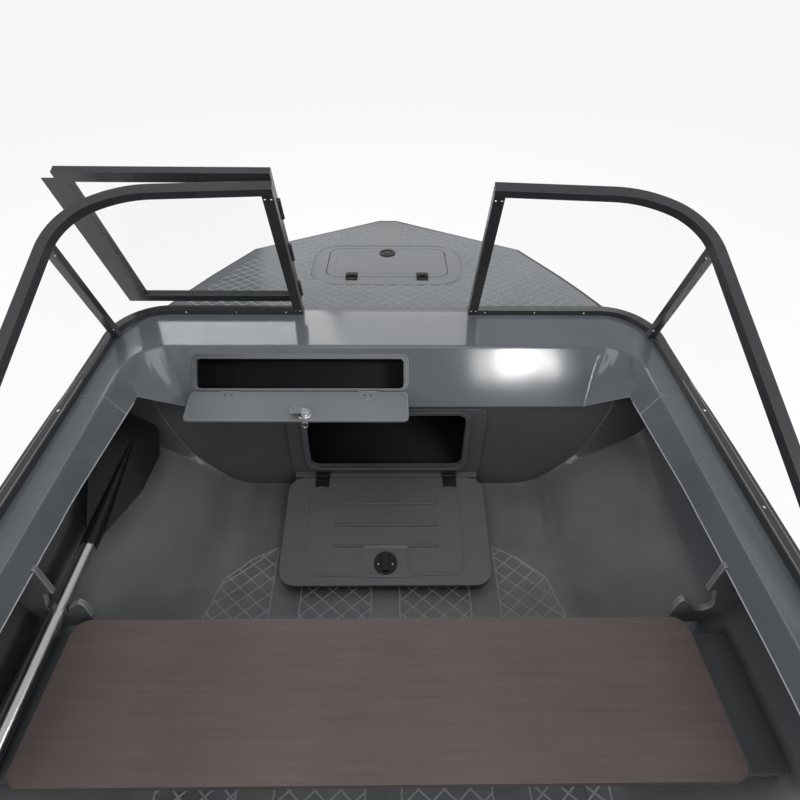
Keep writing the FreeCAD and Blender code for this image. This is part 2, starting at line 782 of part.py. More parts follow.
def glove_flap():
    """Flap that laps over the mouth of the glovebox, bored for the lock, turned open."""
    flap = dash_prism(GLOVE_X0 - FLAP_LAP, GLOVE_X1 + FLAP_LAP, GLOVE_FROM_RIDGE - FLAP_LAP,
                      GLOVE_FROM_RIDGE + GLOVE_HIGH + FLAP_LAP_LOW, FLAP_CORNER, FLAP_STAND,
                      FLAP_STAND + FLAP_THICK)
    return glove_open(flap.cut(lock_barrel(2 * LOCK_LONG)))


def lock_barrel(long):
    start = dash_point(LOCK_X, GLOVE_FROM_RIDGE + LOCK_FROM_TOP,
                       FLAP_STAND + (FLAP_THICK - long) / 2)
    return Part.makeCylinder(LOCK_R, long, start, dash_axes()[1])


def glove_lock():
    start = dash_point(LOCK_X, GLOVE_FROM_RIDGE + LOCK_FROM_TOP, FLAP_STAND + FLAP_THICK)
    rim = Part.makeCylinder(LOCK_RIM_R, 3, start, dash_axes()[1])
    return glove_open(lock_barrel(LOCK_LONG).fuse(rim))


def glove_hinge(x):
    """Two-leaf hinge under the glovebox, its leaf screwed to the dash face."""
    p = glove_hinge_axis()
    s = GLOVE_FROM_RIDGE + GLOVE_HIGH + GLOVE_HINGE_BELOW
    half = GLOVE_HINGE_HALF
    leaf = dash_prism(x - half, x + half, s + 1, s + 20, 3, 0, LEAF_THICK / 2)
    knuckle = Part.makeCylinder(GLOVE_KNUCKLE_R, 2 * half, V(x - half, p.y, p.z), X_AXIS)
    web = dash_prism(x - half, x + half, s - 1.5, s + 3, 0.5, 0, GLOVE_HINGE_OUT - 0.5)
    return merged([leaf, web, knuckle])


# Bulkhead and the locker box under it

def bulkhead(inner, deck):
    """Bulkhead behind the locker, with a doorway through a raised panel."""
    plate = inner.common(slab(BULKHEAD_Y, BULKHEAD_Y + BULKHEAD_THICK, 0, TALL))
    before_dash = prism_x([
        (DASH_LIP_Y, DASH_LIP_Z, 0), (RIDGE_Y, RIDGE_Z, 0), (RIDGE_Y, TALL, 0),
        (DASH_LIP_Y, TALL, 0),
    ], -FAR, FAR)
    plate = largest(plate.common(under_deck()).cut(deck).cut(before_dash))
    low, high = LID_Z0, DASH_LIP_Z - DECK_THICK
    panel = prism_y([
        (-PANEL_HALF, low, 0), (PANEL_HALF, low, 0), (PANEL_HALF, high, PANEL_CORNER),
        (-PANEL_HALF, high, PANEL_CORNER),
    ], BULKHEAD_Y - PANEL_RAISED, BULKHEAD_Y + 1)
    plate = plate.fuse(panel.common(inner)).cut(locker_box(inner))
    return largest(plate.cut(prism_y([
        (-DOORWAY_HALF, DOORWAY_Z0, DOORWAY_CORNER), (DOORWAY_HALF, DOORWAY_Z0, DOORWAY_CORNER),
        (DOORWAY_HALF, DOORWAY_Z1, DOORWAY_CORNER), (-DOORWAY_HALF, DOORWAY_Z1, DOORWAY_CORNER),
    ], BULKHEAD_Y - PAST, BULKHEAD_Y + PAST)))


def lid_slope():
    return math.degrees(math.atan2(LID_Z1 - LID_Z0, LID_Y1 - LID_Y0))


def on_lid(shape):
    """Carries a shape from a flat lid, its near edge at y = 0, onto the sloping box."""
    shape.rotate(V(0, 0, 0), X_AXIS, lid_slope())
    shape.translate(V(0, LID_Y0, LID_Z0))
    return shape


def lid_length():
    return math.hypot(LID_Y1 - LID_Y0, LID_Z1 - LID_Z0)


def locker_hollow():
    """Space under the lid, down into the foam above the keel."""
    return box(-LOCKER_HALF, LOCKER_HALF, BOX_Y0 + LOCKER_RIM, LID_Y1 - LOCKER_RIM_FAR,
               LOCKER_FLOOR_Z, TALL)


def locker_box(inner):
    """Sloping moulded box a little narrower than its lid, open under the lid."""
    far = lid_length() + BULKHEAD_Y - LID_Y1 + PAST
    w = BOX_HALF
    top = on_lid(box(-w, w, BOX_Y0 - LID_Y0, far, -LID_Z1, -LID_THICK - SEATED))
    ledge = on_lid(box(-w, w, lid_length() + LID_GAP, far, -LID_THICK - 1, -LEAF_THICK))
    body = top.fuse(ledge).common(inner).common(slab(BOX_Y0, BULKHEAD_Y, 0, TALL))
    return body.cut(locker_hollow())


def cockpit_lid():
    lid = prism_z(rectangle(-LID_HALF, LID_HALF, 0, lid_length(), LID_CORNER), -LID_THICK, 0)
    return on_lid(lid)


def lid_latch():
    y, base_high = LID_LATCH_Y, 6.0
    half, reach, high = LID_GRIP
    base = Part.makeCylinder(LID_LATCH_R, base_high, V(0, y, 0))
    grip = box(-half, half, y - reach, y + reach, base_high, base_high + high)
    return on_lid(merged([base, grip]))


def lid_axis():
    return V(0, lid_length() + LID_GAP / 2, KNUCKLE_R + 0.5)


def lid_hinge(x):
    """Lid leaf with the middle knuckle of one hinge."""
    p = lid_axis()
    half = HINGE_WIDE / 2
    y = lid_length()
    leaf = box(x - half, x + half, y - 34, y - 4, 0, LEAF_THICK)
    arm = box(x - half / 3, x + half / 3, y - 10, p.y, 1.5, KNUCKLE_R + 2)
    knuckle = Part.makeCylinder(KNUCKLE_R, half * 2 / 3, V(x - half / 3, p.y, p.z), X_AXIS)
    hole = Part.makeCylinder(PIN_R + PIN_PLAY, HINGE_WIDE, V(x - half, p.y, p.z), X_AXIS)
    return on_lid(merged([leaf, arm, knuckle]).cut(hole))


def lid_hinge_leaf(x):
    """Box leaf with the outer knuckles and the pin of one hinge."""
    p = lid_axis()
    half = HINGE_WIDE / 2
    front = p.y + LID_GAP / 2
    pieces = [box(x - half, x + half, front + 1, front + 16, -LEAF_THICK, 1), hinge_pin(x, p)]
    for x0, x1 in end_knuckles(x):
        pieces.append(box(x0, x1, p.y, front + 10, -2, KNUCKLE_R + 2))
        pieces.append(Part.makeCylinder(KNUCKLE_R, x1 - x0, V(x0, p.y, p.z), X_AXIS))
    return on_lid(merged(pieces))


# Seat, hooks and oar

def seat():
    return prism_z(rectangle(-SEAT_HALF, SEAT_HALF, SEAT_Y0, SEAT_Y1, SEAT_CORNER),
                   SEAT_Z - SEAT_THICK, SEAT_Z)


def seat_bearer(inner):
    """Side bearer of the plank, lower beside it, where the oar passes."""
    top = SEAT_Z - SEAT_THICK
    back = BEARER_SET_BACK
    rail = box(SEAT_HALF - BEARER_LAP, FAR, SEAT_Y0 + back, SEAT_Y1 - back, top - BEARER_HIGH, top)
    channel = box(SEAT_HALF + CHANNEL_GAP, FAR, SEAT_Y0, SEAT_Y1, top - CHANNEL_DEEP, top + 1)
    return rail.cut(channel).common(inner)


def oar_height(y):
    """Height of the shaft's middle, which climbs towards the blade."""
    return OAR_Z + (y - HOOK_FORE_Y - HOOK_THICK / 2) * math.tan(math.radians(OAR_SLOPE))


def hook_plate(y0, inner):
    """Side rib with a notch for an oar, on the starboard side."""
    r = OAR_R + HOOK_PLAY
    x, z = -OAR_X, oar_height(y0 + HOOK_THICK / 2) + HOOK_PLAY - 2 * SEATED
    head = deck_z(y0) - FLANGE_DROP + 10
    plate = prism_y([(FAR, z - 75, 0), (FAR, head + 60, 0), (x - 14, head, 6), (x - 14, z + 40, 8),
                     (x - 60, z + 16, 20), (x - 60, z - 75, 40)], y0, y0 + HOOK_THICK)
    notch = Part.makeCylinder(r, HOOK_THICK + 2, V(x, y0 - 1, z), Y_AXIS)
    throat = prism_y([(x - r, z, 0), (x + r, z, 0), (x + 4, z + 62, 0), (x - 14, z + 62, 0),
                      (x - 60, z + 75, 0), (x - 60, z + 30, 0)], y0 - 1, y0 + HOOK_THICK + 1)
    return plate.cut(notch).cut(throat).common(inner)


def stowed(shape):
    """Carries an oar piece from level, its neck at the origin, into the hooks."""
    shape.rotate(V(0, 0, 0), X_AXIS, OAR_SLOPE)
    shape.translate(V(OAR_X, OAR_NECK_Y, oar_height(OAR_NECK_Y)))
    return shape


def oar_tube(y0, y1, radius):
    return rod(V(0, y0 - OAR_NECK_Y, 0), V(0, y1 - OAR_NECK_Y, 0), radius)


def oar_shaft():
    tube = oar_tube(OAR_GRIP_Y + GRIP_LAP, OAR_NECK_Y, OAR_R)
    return stowed(tube.cut(oar_tube(OAR_GRIP_Y, OAR_TIP_Y, OAR_R - OAR_WALL)))


def oar_blade():
    """Blade with a tapering spine, tilted about the shaft and bent a little at its neck."""
    length = OAR_TIP_Y - OAR_NECK_Y
    start = V(0, -BLADE_SOCKET, 0)
    neck = Part.makeCylinder(OAR_R + OAR_SLEEVE, 60, start, Y_AXIS)
    socket = Part.makeCylinder(OAR_R, BLADE_SOCKET, start, Y_AXIS)
    spine = Part.makeCone(OAR_R + OAR_SLEEVE, BLADE_THICK, length - 120, V(0, 40, 0), Y_AXIS)
    half = [(22, 30, 8), (70, 170, 60), (82, length - 90, 40), (52, length, 30)]
    outline = half + [(-x, y, r) for x, y, r in reversed(half)]
    plate = prism_z(outline, -BLADE_THICK / 2, BLADE_THICK / 2)
    blade = merged([spine, plate])
    blade.rotate(V(0, 0, 0), Y_AXIS, OAR_TILT)
    blade.rotate(V(0, 20, 0), X_AXIS, BLADE_BEND)
    return stowed(blade.fuse(neck).cut(socket))


def oar_grip():
    grip = oar_tube(OAR_GRIP_Y, OAR_GRIP_Y + GRIP_LONG, OAR_R + OAR_SLEEVE)
    return stowed(grip.cut(oar_tube(OAR_GRIP_Y + GRIP_LAP, OAR_TIP_Y, OAR_R)))


# Windscreen

def screen_point(u, w, n):
    """Point on the raked screen: u to starboard, w up the rake, n forward of it."""
    length = math.hypot(SCREEN_RISE, SCREEN_RAKE)
    up = V(0, -SCREEN_RAKE / length, SCREEN_RISE / length)
    ahead = V(0, SCREEN_RISE / length, SCREEN_RAKE / length)
    return V(u, SCREEN_Y, COWL_Z) + up * w + ahead * n


def screen_up():
    return (screen_point(0, 1, 0) - screen_point(0, 0, 0)).normalize()


def screen_ahead():
    return (screen_point(0, 0, 1) - screen_point(0, 0, 0)).normalize()


def slope_length():
    return math.hypot(SCREEN_RISE, SCREEN_RAKE)


def rail_end_z():
    return deck_z(RAIL_AFT_Y) + RAIL_HIGH / 2


def base_rail():
    """Starboard lower rail, round the cowl corner and along the side deck."""
    z = COWL_Z + RAIL_HIGH / 2
    points = [
        V(DOOR_HALF, SCREEN_Y, z), V(RAIL_X, SCREEN_Y, z),
        V(RAIL_X, RIDGE_Y, RIDGE_Z + RAIL_HIGH / 2), V(RAIL_X, RAIL_AFT_Y, rail_end_z()),
    ]
    return bar_along(points, [RAIL_CORNER, RAIL_DIP], BAR, RAIL_HIGH, Z_AXIS)


def top_rail():
    head = screen_point(DOOR_HALF, slope_length(), 0)
    points = [
        head,
        V(TOP_RAIL_FRONT[0], TOP_RAIL_FRONT[1], head.z),
        V(*TOP_RAIL_SHOULDER),
        V(RAIL_X - TOP_RAIL_IN, RAIL_AFT_Y, rail_end_z() + RAIL_HIGH / 2),
    ]
    return bar_along(points, TOP_RAIL_RADII, BAR, BAR_DEEP, screen_up())


def post():
    foot = screen_point(DOOR_HALF + BAR / 2, 0, 0)
    head = screen_point(DOOR_HALF + BAR / 2, slope_length(), 0)
    return bar_along([foot, head], [], BAR, BAR_DEEP, screen_ahead())


def strut():
    foot = V(STRUT_FOOT[0], STRUT_FOOT[1], COWL_Z)
    head = V(*STRUT_HEAD)
    return bar_along([foot, head], [], STRUT_WIDE, BAR_DEEP, screen_ahead())


def side_pane():
    """Clear triangle between the strut, the top rail and the side deck."""
    a = V(STRUT_FOOT[0] + 8, STRUT_FOOT[1] - 14, COWL_Z + RAIL_HIGH)
    b = V(STRUT_HEAD[0], STRUT_HEAD[1] - 14, STRUT_HEAD[2] - 10)
    c = V(RAIL_X - TOP_RAIL_IN, RAIL_AFT_Y + 70, rail_end_z() + RAIL_HIGH / 2 + 20)
    face = Part.Face(Part.makePolygon([a, b, c, a]))
    out = (b - a).cross(c - a).normalize()
    return face.extrude(out * PANE)


def front_pane():
    """Clear sheet from the post round to the strut, raked and leaning inboard."""
    z = COWL_Z + RAIL_HIGH
    x0, x1, y0, r, t = DOOR_HALF + BAR, RAIL_X, SCREEN_Y, PANE_CORNER, PANE
    y1 = y0 - r - PAST
    plan = wire_of([
        (V(x0, y0, z), 0), (V(x1, y0, z), r), (V(x1, y1, z), 0),
        (V(x1 - t, y1, z), 0), (V(x1 - t, y0 - t, z), r - t), (V(x0, y0 - t, z), 0),
    ])
    sheet = Part.Face(plan).extrude(V(-PANE_LEAN, -SCREEN_RAKE, SCREEN_RISE - RAIL_HIGH))
    top = COWL_Z + SCREEN_RISE - BAR
    bend, turn_x, turn_z = TOP_RAIL_FRONT[0] + 28, TOP_RAIL_SHOULDER[0], TOP_RAIL_SHOULDER[2]
    under = prism_y([
        (x0 - 5, FOREDECK_BOW_Z, 0), (x0 - 5, top, 0), (bend, top, 0), (turn_x - 12, turn_z - 13, 0),
        (turn_x + 48, turn_z - 63, 0), (RAIL_X + 12, FOREDECK_BOW_Z, 0),
    ], 0, SCREEN_Y + PAST)
    foot, head = STRUT_FOOT, STRUT_HEAD
    rate = (foot[1] - head[1]) / (head[2] - COWL_Z)
    low, high = COWL_Z - PAST, head[2] + PAST
    aft = prism_x([
        (foot[1] + rate * PAST, low, 0), (head[1] - rate * PAST, high, 0), (0, high, 0), (0, low, 0),
    ], TOP_RAIL_FRONT[0], TALL)
    return sheet.common(under).cut(aft)


def door_point(u, w, n):
    """Point on the closed door: u to starboard, w up the rake, n forward of its middle."""
    return screen_point(u, w, DOOR_AHEAD + n)


def door_bars():
    """Door frame in its closed place, with a stop strip that laps over the far post."""
    half = DOOR_HALF - DOOR_GAP
    bars = []
    for u in (-half + BAR / 2, half - BAR / 2):
        bars.append(bar_along([door_point(u, DOOR_LOW, 0), door_point(u, DOOR_HIGH, 0)], [], BAR,
                              BAR_DEEP, screen_ahead()))
    for w in (DOOR_LOW + BAR / 2, DOOR_HIGH - BAR / 2):
        bars.append(bar_along([door_point(-half, w, 0), door_point(half, w, 0)], [], BAR, BAR_DEEP,
                              screen_ahead()))
    n = BAR_DEEP / 2 - DOOR_STOP_THICK / 2
    u = half + DOOR_STOP_WIDE / 2 - 2
    ends = [door_point(u, w, n) for w in (DOOR_LOW, DOOR_HIGH - 18)]
    bars.append(bar_along(ends, [], DOOR_STOP_WIDE + 4, DOOR_STOP_THICK, screen_ahead()))
    return merged(bars)


def door_pane():
    half = DOOR_HALF - DOOR_GAP - BAR
    low, high = DOOR_LOW + BAR, DOOR_HIGH - BAR
    corners = [(-half, low), (half, low), (half, high), (-half, high)]
    pts = [door_point(u, w, -PANE / 2) for u, w in corners]
    return Part.Face(Part.makePolygon(pts + [pts[0]])).extrude(screen_ahead() * PANE)


def door_axis_n():
    """How far the hinge pins stand forward of the door's middle."""
    return BAR_DEEP / 2 + 3


def door_axis_point():
    return door_point(-DOOR_HALF, 0, door_axis_n())


def door_hinge_heights():
    return [slope_length() * f for f in (0.18, 0.5, 0.82)]


def leaf_block(u0, u1, w0, w1, n0, n1):
    """Block on the raked screen, between two places across, up and forward of the door."""
    pts = [door_point(u, w0, n) for u, n in ((u0, n0), (u1, n0), (u1, n1), (u0, n1))]
    return Part.Face(Part.makePolygon(pts + [pts[0]])).extrude(screen_up() * (w1 - w0))


def door_hinge_post():
    """Hinge halves on the post: leaf, end knuckles and pin."""
    p = door_axis_point()
    up = screen_up()
    face = BAR_DEEP / 2 - DOOR_AHEAD
    third = DOOR_HINGE / 6
    solids = []
    for w in door_hinge_heights():
        w0, w1 = w - DOOR_HINGE / 2, w + DOOR_HINGE / 2
        solids.append(leaf_block(-DOOR_HALF - BAR + 3, -DOOR_HALF - 1, w0, w1, face, face + 2.5))
        for k0, k1 in ((w0, w - third - 0.5), (w + third + 0.5, w1)):
            solids.append(Part.makeCylinder(KNUCKLE_R, k1 - k0, p + up * k0, up))
            solids.append(leaf_block(-DOOR_HALF - 5, -DOOR_HALF - 1, k0, k1, face, door_axis_n()))
        solids.append(Part.makeCylinder(PIN_R, DOOR_HINGE - 1, p + up * (w0 + 0.5), up))
    return merged(solids)


def door_hinge_frame():
    """Hinge halves on the door, in its closed place: leaf and middle knuckle."""
    p = door_axis_point()
    up = screen_up()
    face = BAR_DEEP / 2
    third = DOOR_HINGE / 6
    solids = []
    for w in door_hinge_heights():
        w0, w1 = w - third, w + third
        knuckle = Part.makeCylinder(KNUCKLE_R, w1 - w0, p + up * w0, up)
        leaf = leaf_block(-DOOR_HALF + DOOR_GAP + 1, -DOOR_HALF + BAR, w0, w1, face, face + 2.5)
        arm = leaf_block(-DOOR_HALF, -DOOR_HALF + DOOR_GAP + 4, w0, w1, face, face + 3)
        hole = Part.makeCylinder(PIN_R + PIN_PLAY, DOOR_HINGE * 2, p + up * (w - DOOR_HINGE), up)
        solids.append(merged([knuckle, leaf, arm]).cut(hole))
    return Part.makeCompound(solids)


def door_open(shape):
    """Turns a door piece from closed to folded over the port pane, as it rests."""
    shape.rotate(door_axis_point(), screen_up(), 180)
    return shape


# Rub rail, stern and fittings

def rub_rail():
    """Rub rail round the deck's edge in two lengths, which meet at the bow."""
    rail = deck_plan(RUB_WIDE).common(rub_band()).cut(deck_plan(0))
    rail = rail.cut(slab(TRANSOM_Y - PAST, TRANSOM_Y, 0, TALL))
    return Part.makeCompound([largest(rail.common(side_of(k))) for k in (1, -1)])


def stern_bench(inner):
    return inner.common(slab(STERN_Y, STERN_Y + BENCH_LONG, FLOOR_Z, BENCH_Z))


def socket_body():
    """Starboard rowlock socket before it is bored: a plate on the deck and a sleeve below."""
    x, y = (OPENING_HALF + STATIONS[1][1]) / 2, ROWLOCK_Y
    z = deck_z(y)
    half, long, r = ROWLOCK_PLATE
    plate = prism_z(rectangle(x - half, x + half, y - long, y + long, r), z - 2, z + 6)
    sleeve = Part.makeCylinder(ROWLOCK_R + ROWLOCK_WALL, ROWLOCK_LONG, V(x, y, z + 10 - ROWLOCK_LONG))
    return merged([plate, sleeve]), V(x, y, z)


def rowlock_socket():
    """Raised socket on the starboard side deck, bored for a rowlock pin."""
    body, place = socket_body()
    long = ROWLOCK_LONG + PAST
    return body.cut(Part.makeCylinder(ROWLOCK_R, long, place - Z_AXIS * ROWLOCK_LONG))


def socket_hole():
    return socket_body()[0]


def stem_axes():
    """Point under the bow eye on the stem, the way up the stem, and the way out of it."""
    run = NOSE[0] - STATIONS[-1][0]
    climb = NOSE[10] - STATIONS[-1][10]
    along = V(0, run, climb).normalize()
    share = (BOW_EYE_Y - STATIONS[-1][0]) / run
    foot = V(0, BOW_EYE_Y, STATIONS[-1][10] + climb * share)
    return foot, along, V(0, along.z, -along.y)


def bow_eye():
    """Towing eye, an upright plate with a hole, low on the stem."""
    foot, along, out = stem_axes()
    t = BOW_EYE_THICK
    low, sunk = BOW_EYE_FOOT
    high, reach, r = BOW_EYE_TOP
    corners = [(-low, sunk, 0), (low, sunk, 0), (high, reach, r), (-high, reach, r)]
    pts = [(foot + along * a + out * n - X_AXIS * (t / 2), r) for a, n, r in corners]
    plate = Part.Face(wire_of(pts)).extrude(X_AXIS * t)
    hole = Part.makeCylinder(BOW_EYE_R, 3 * t, foot + out * BOW_EYE_OUT - X_AXIS * (1.5 * t), X_AXIS)
    return largest(plate.cut(hole).cut(hull_body()))


def rub_band():
    """Side profile of the rub rail, which steps down beside the cowl's round corner."""
    aft, step, bow = TRANSOM_Y - PAST, COWL_FRONT_Y - COWL_CORNER, BOW_Y + PAST
    top = [(aft, deck_z(aft)), (RIDGE_Y, RIDGE_Z), (step, foredeck_z(step)), (bow, FOREDECK_BOW_Z)]
    under = [(y, z - RUB_HIGH) for y, z in reversed(top)]
    return prism_x([(y, z - RUB_BELOW, 0) for y, z in top + under], -FAR, FAR)


def both(make):
    """The same piece at +x and -x, as a compound."""
    return Part.makeCompound([make(1), make(-1)])


def build():
    inner = cavity()
    deck = deck_moulding()
    parts = {}
    parts.update(hull_pieces(inner, deck))
    parts.update(deck_pieces(deck))
    parts.update({
        "rub_rail": rub_rail(),
        "bow_eye": bow_eye(),
        "stern_bench": stern_bench(inner),
        "foredeck_hatch_frame": hatch_frame(),
        "foredeck_hatch_lid": hatch_lid(),
        "foredeck_hatch_latch": hatch_latch(),
        "foredeck_hatch_hinges": both(lambda k: hatch_hinge(k * HATCH_HINGE_X)),
        "foredeck_hatch_hinge_leaves": both(lambda k: hatch_hinge_leaf(k * HATCH_HINGE_X)),
        "glovebox_bin": glove_bin(),
        "glovebox_flap": glove_flap(),
        "glovebox_lock": glove_lock(),
        "glovebox_hinges": Part.makeCompound([glove_hinge(x) for x in GLOVE_HINGE_X]),
        "bow_bulkhead": bulkhead(inner, deck),
        "locker_box": locker_box(inner),
        "locker_lid": cockpit_lid(),
        "locker_latch": lid_latch(),
        "locker_hinges": both(lambda k: lid_hinge(k * LID_HINGE_X)),
        "locker_hinge_leaves": both(lambda k: lid_hinge_leaf(k * LID_HINGE_X)),
        "seat_plank": seat(),
        "oar_shaft": oar_shaft(),
        "oar_blade": oar_blade(),
        "oar_grip": oar_grip(),
        "windscreen_door_frame": door_open(door_bars()),
        "windscreen_door_pane": door_open(door_pane()),
        "windscreen_door_hinges": door_open(door_hinge_frame()),
        "windscreen_door_hinge_posts": door_hinge_post(),
    })
    for side, turn in (("starboard", lambda s: s), ("port", mirrored)):
        parts["seat_bearer_" + side] = turn(seat_bearer(inner))
        parts["oar_hook_forward_" + side] = turn(largest(hook_plate(HOOK_FORE_Y, inner).cut(deck)))
        parts["oar_hook_aft_" + side] = turn(largest(hook_plate(HOOK_AFT_Y, inner).cut(deck)))
        parts["rowlock_socket_" + side] = turn(rowlock_socket())
        hole = turn(socket_hole())
        for name in ("side_deck_" + side, "hull_side_" + side):
            parts[name] = parts[name].cut(hole)
        base, top = largest(base_rail().cut(deck)), top_rail()
        parts["screen_base_rail_" + side] = turn(base)
        parts["screen_top_rail_" + side] = turn(largest(top.cut(base)))
        parts["screen_post_" + side] = turn(largest(post().cut(top).cut(base)))
        parts["screen_strut_" + side] = turn(largest(strut().cut(top).cut(base)))
        bars = merged([base, top, strut(), post()])
        parts["screen_side_pane_" + side] = turn(largest(side_pane().cut(bars)))
        parts["screen_front_pane_" + side] = turn(largest(front_pane().cut(bars)))
    return parts


def write_steps(parts):
    os.makedirs("parts", exist_ok=True)
    for old in os.listdir("parts"):
        os.remove(os.path.join("parts", old))
    for name, shape in parts.items():
        solids = shape.Solids
        whole = solids[0] if len(solids) == 1 else Part.makeCompound(solids)
        whole.exportStep(os.path.join("parts", name + ".step"))
        b = whole.BoundBox
        print("%-28s %2d solids %9.1f cm3 %s x %.0f..%.0f y %.0f..%.0f z %.0f..%.0f" % (
            name, len(solids), whole.Volume / 1000, whole.isValid(),
            b.XMin, b.XMax, b.YMin, b.YMax, b.ZMin, b.ZMax))


write_steps(build())
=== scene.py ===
import bpy
import bmesh
import json
import math
from mathutils import Vector, Matrix
from mathutils.bvhtree import BVHTree


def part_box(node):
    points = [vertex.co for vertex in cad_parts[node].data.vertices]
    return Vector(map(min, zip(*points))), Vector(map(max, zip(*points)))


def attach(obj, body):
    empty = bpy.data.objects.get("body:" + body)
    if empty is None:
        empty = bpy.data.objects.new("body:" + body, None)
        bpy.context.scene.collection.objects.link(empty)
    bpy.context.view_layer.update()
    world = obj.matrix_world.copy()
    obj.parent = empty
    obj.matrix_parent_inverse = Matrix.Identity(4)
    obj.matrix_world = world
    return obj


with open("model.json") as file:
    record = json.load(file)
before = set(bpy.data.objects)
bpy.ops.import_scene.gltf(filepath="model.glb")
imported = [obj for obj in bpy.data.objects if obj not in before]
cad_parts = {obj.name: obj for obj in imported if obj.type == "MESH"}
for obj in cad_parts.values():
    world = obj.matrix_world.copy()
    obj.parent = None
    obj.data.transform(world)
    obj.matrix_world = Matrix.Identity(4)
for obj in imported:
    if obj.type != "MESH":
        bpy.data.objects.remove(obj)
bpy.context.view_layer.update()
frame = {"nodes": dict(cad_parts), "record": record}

# A plastic boat on a pale floor, seen from above its stern bench. Metres. +Y is the bow,
# +X is starboard, +Z is up. The imported solids are shown with finishes, with painted shade in
# hollows and edges lighter partly as painted highlight, and the pieces built here are tread,
# panel lines, lips, screws, trim and keys, placed from the solids they sit on; the pale lips on
# the rim and the rails are painted highlights.

nodes = frame["nodes"]
scene = bpy.context.scene
X_AXIS = Vector((1, 0, 0))
Y_AXIS = Vector((0, 1, 0))
Z_AXIS = Vector((0, 0, 1))
SIDES = (("starboard", 1), ("port", -1))

# Slanted dash: its ridge and its lower lip, as (y, z)
RIDGE = (0.888, 0.690)
LIP = (0.780, 0.556)

# Raised tread lines
LINE_WIDE = 0.0055
LINE_HIGH = 0.0011
LINE_SHORTEST = 0.004
LINE_STEP = 0.02

# Windscreen: foot and head of its rake, as (y, z), the profile of its bars and half its gate
SCREEN_FOOT = (1.047, 0.703)
SCREEN_HEAD = (0.862, 1.140)
BAR = 0.027
GATE_HALF = 0.250

# Heights that rays are cast down from: above the rails, the decks, the locker lid and the floor
ABOVE_RAILS = 1.0
ABOVE_DECKS = 0.9
ABOVE_LID = 0.6
ABOVE_FLOOR = 0.40


# Camera: above the stern bench, looking forward and down, with a slight turn and lean
FOCAL = 24.0
SENSOR = 36.0
CAMERA_PLACE = (0.019, -0.357, 1.570)
PITCH = math.radians(41.0)
YAW = math.radians(1.11)
LEAN = math.radians(-0.74)
cam_data = bpy.data.cameras.new("camera")
cam_data.lens = FOCAL
cam_data.sensor_width = SENSOR
camera = bpy.data.objects.new("camera", cam_data)
scene.collection.objects.link(camera)
gaze = Vector((math.sin(YAW) * math.cos(PITCH), math.cos(YAW) * math.cos(PITCH), -math.sin(PITCH)))
level = Vector((math.cos(YAW), -math.sin(YAW), 0))
down = gaze.cross(level)
right = level * math.cos(LEAN) + down * math.sin(LEAN)
below = down * math.cos(LEAN) - level * math.sin(LEAN)
turn = Matrix((right, -below, -gaze)).transposed()
camera.matrix_world = Matrix.Translation(CAMERA_PLACE) @ turn.to_4x4()
scene.camera = camera
scene.view_settings.view_transform = "Standard"


# Node helpers

def put(tree, kind, values=None, **settings):
    """A node with its settings and the default values of its inputs."""
    node = tree.nodes.new(kind)
    for key, value in settings.items():
        setattr(node, key, value)
    for key, value in (values or {}).items():
        node.inputs[key].default_value = value
    return node


def link(tree, source, output, target, socket):
    tree.links.new(source.outputs[output], target.inputs[socket])


def ramp(tree, first, last):
    """Colour ramp between two (position, grey value) stops."""
    node = put(tree, "ShaderNodeValToRGB")
    for stop, (place, value) in zip(node.color_ramp.elements, (first, last)):
        stop.position = place
        stop.color = (value, value, value, 1)
    return node


def direct_view(tree):
    """1 for rays from the camera and on through the panes, 0 for all others."""
    path = put(tree, "ShaderNodeLightPath")
    either = put(tree, "ShaderNodeMath", operation="MAXIMUM")
    link(tree, path, "Is Camera Ray", either, 0)
    link(tree, path, "Is Transmission Ray", either, 1)
    return either


def multiplied(tree):
    """Colour A times colour or value B."""
    return put(tree, "ShaderNodeMix", {"Factor": 1.0}, data_type="RGBA", blend_type="MULTIPLY")


def spread(tree, least, most):
    """The middle of a noise, 0.3 to 0.7, stretched from least to most."""
    return put(tree, "ShaderNodeMapRange", {"From Min": 0.3, "From Max": 0.7, "To Min": least,
                                            "To Max": most})


def bare_material(name, keep_shader=True):
    """New material with its node tree, with or without the standard shader."""
    mat = bpy.data.materials.new(name)
    mat.use_nodes = True
    if not keep_shader:
        mat.node_tree.nodes.remove(mat.node_tree.nodes["Principled BSDF"])
    return mat, mat.node_tree


# World: white to the camera and through the panes, a soft studio to everything else

SOFT_STRENGTH = 0.60
SOFT_BELOW = (0.30, 0.22)
SOFT_ABOVE = (0.82, 0.95)


def studio_world():
    world = bpy.data.worlds.new("studio")
    scene.world = world
    world.use_nodes = True
    tree = world.node_tree
    tree.nodes.clear()
    out = put(tree, "ShaderNodeOutputWorld")
    mix = put(tree, "ShaderNodeMixShader")
    white = put(tree, "ShaderNodeBackground", {"Color": (1, 1, 1, 1), "Strength": 1.0})
    soft = put(tree, "ShaderNodeBackground", {"Strength": SOFT_STRENGTH})
    coord = put(tree, "ShaderNodeTexCoord")
    split = put(tree, "ShaderNodeSeparateXYZ")
    height = put(tree, "ShaderNodeMapRange", {"From Min": -1.0})
    fade = ramp(tree, SOFT_BELOW, SOFT_ABOVE)
    link(tree, coord, "Generated", split, 0)
    link(tree, split, "Z", height, "Value")
    link(tree, height, "Result", fade, "Fac")
    link(tree, fade, "Color", soft, "Color")
    link(tree, direct_view(tree), 0, mix, 0)
    link(tree, soft, 0, mix, 1)
    link(tree, white, 0, mix, 2)
    link(tree, mix, 0, out, 0)


# Floor: its half width, how far it lies under the runners, its grey and its share of white

FLOOR_HALF = 60.0
FLOOR_DOWN = 0.0005
FLOOR_GREY = (0.82, 0.82, 0.82, 1)
FLOOR_WHITE = 0.86


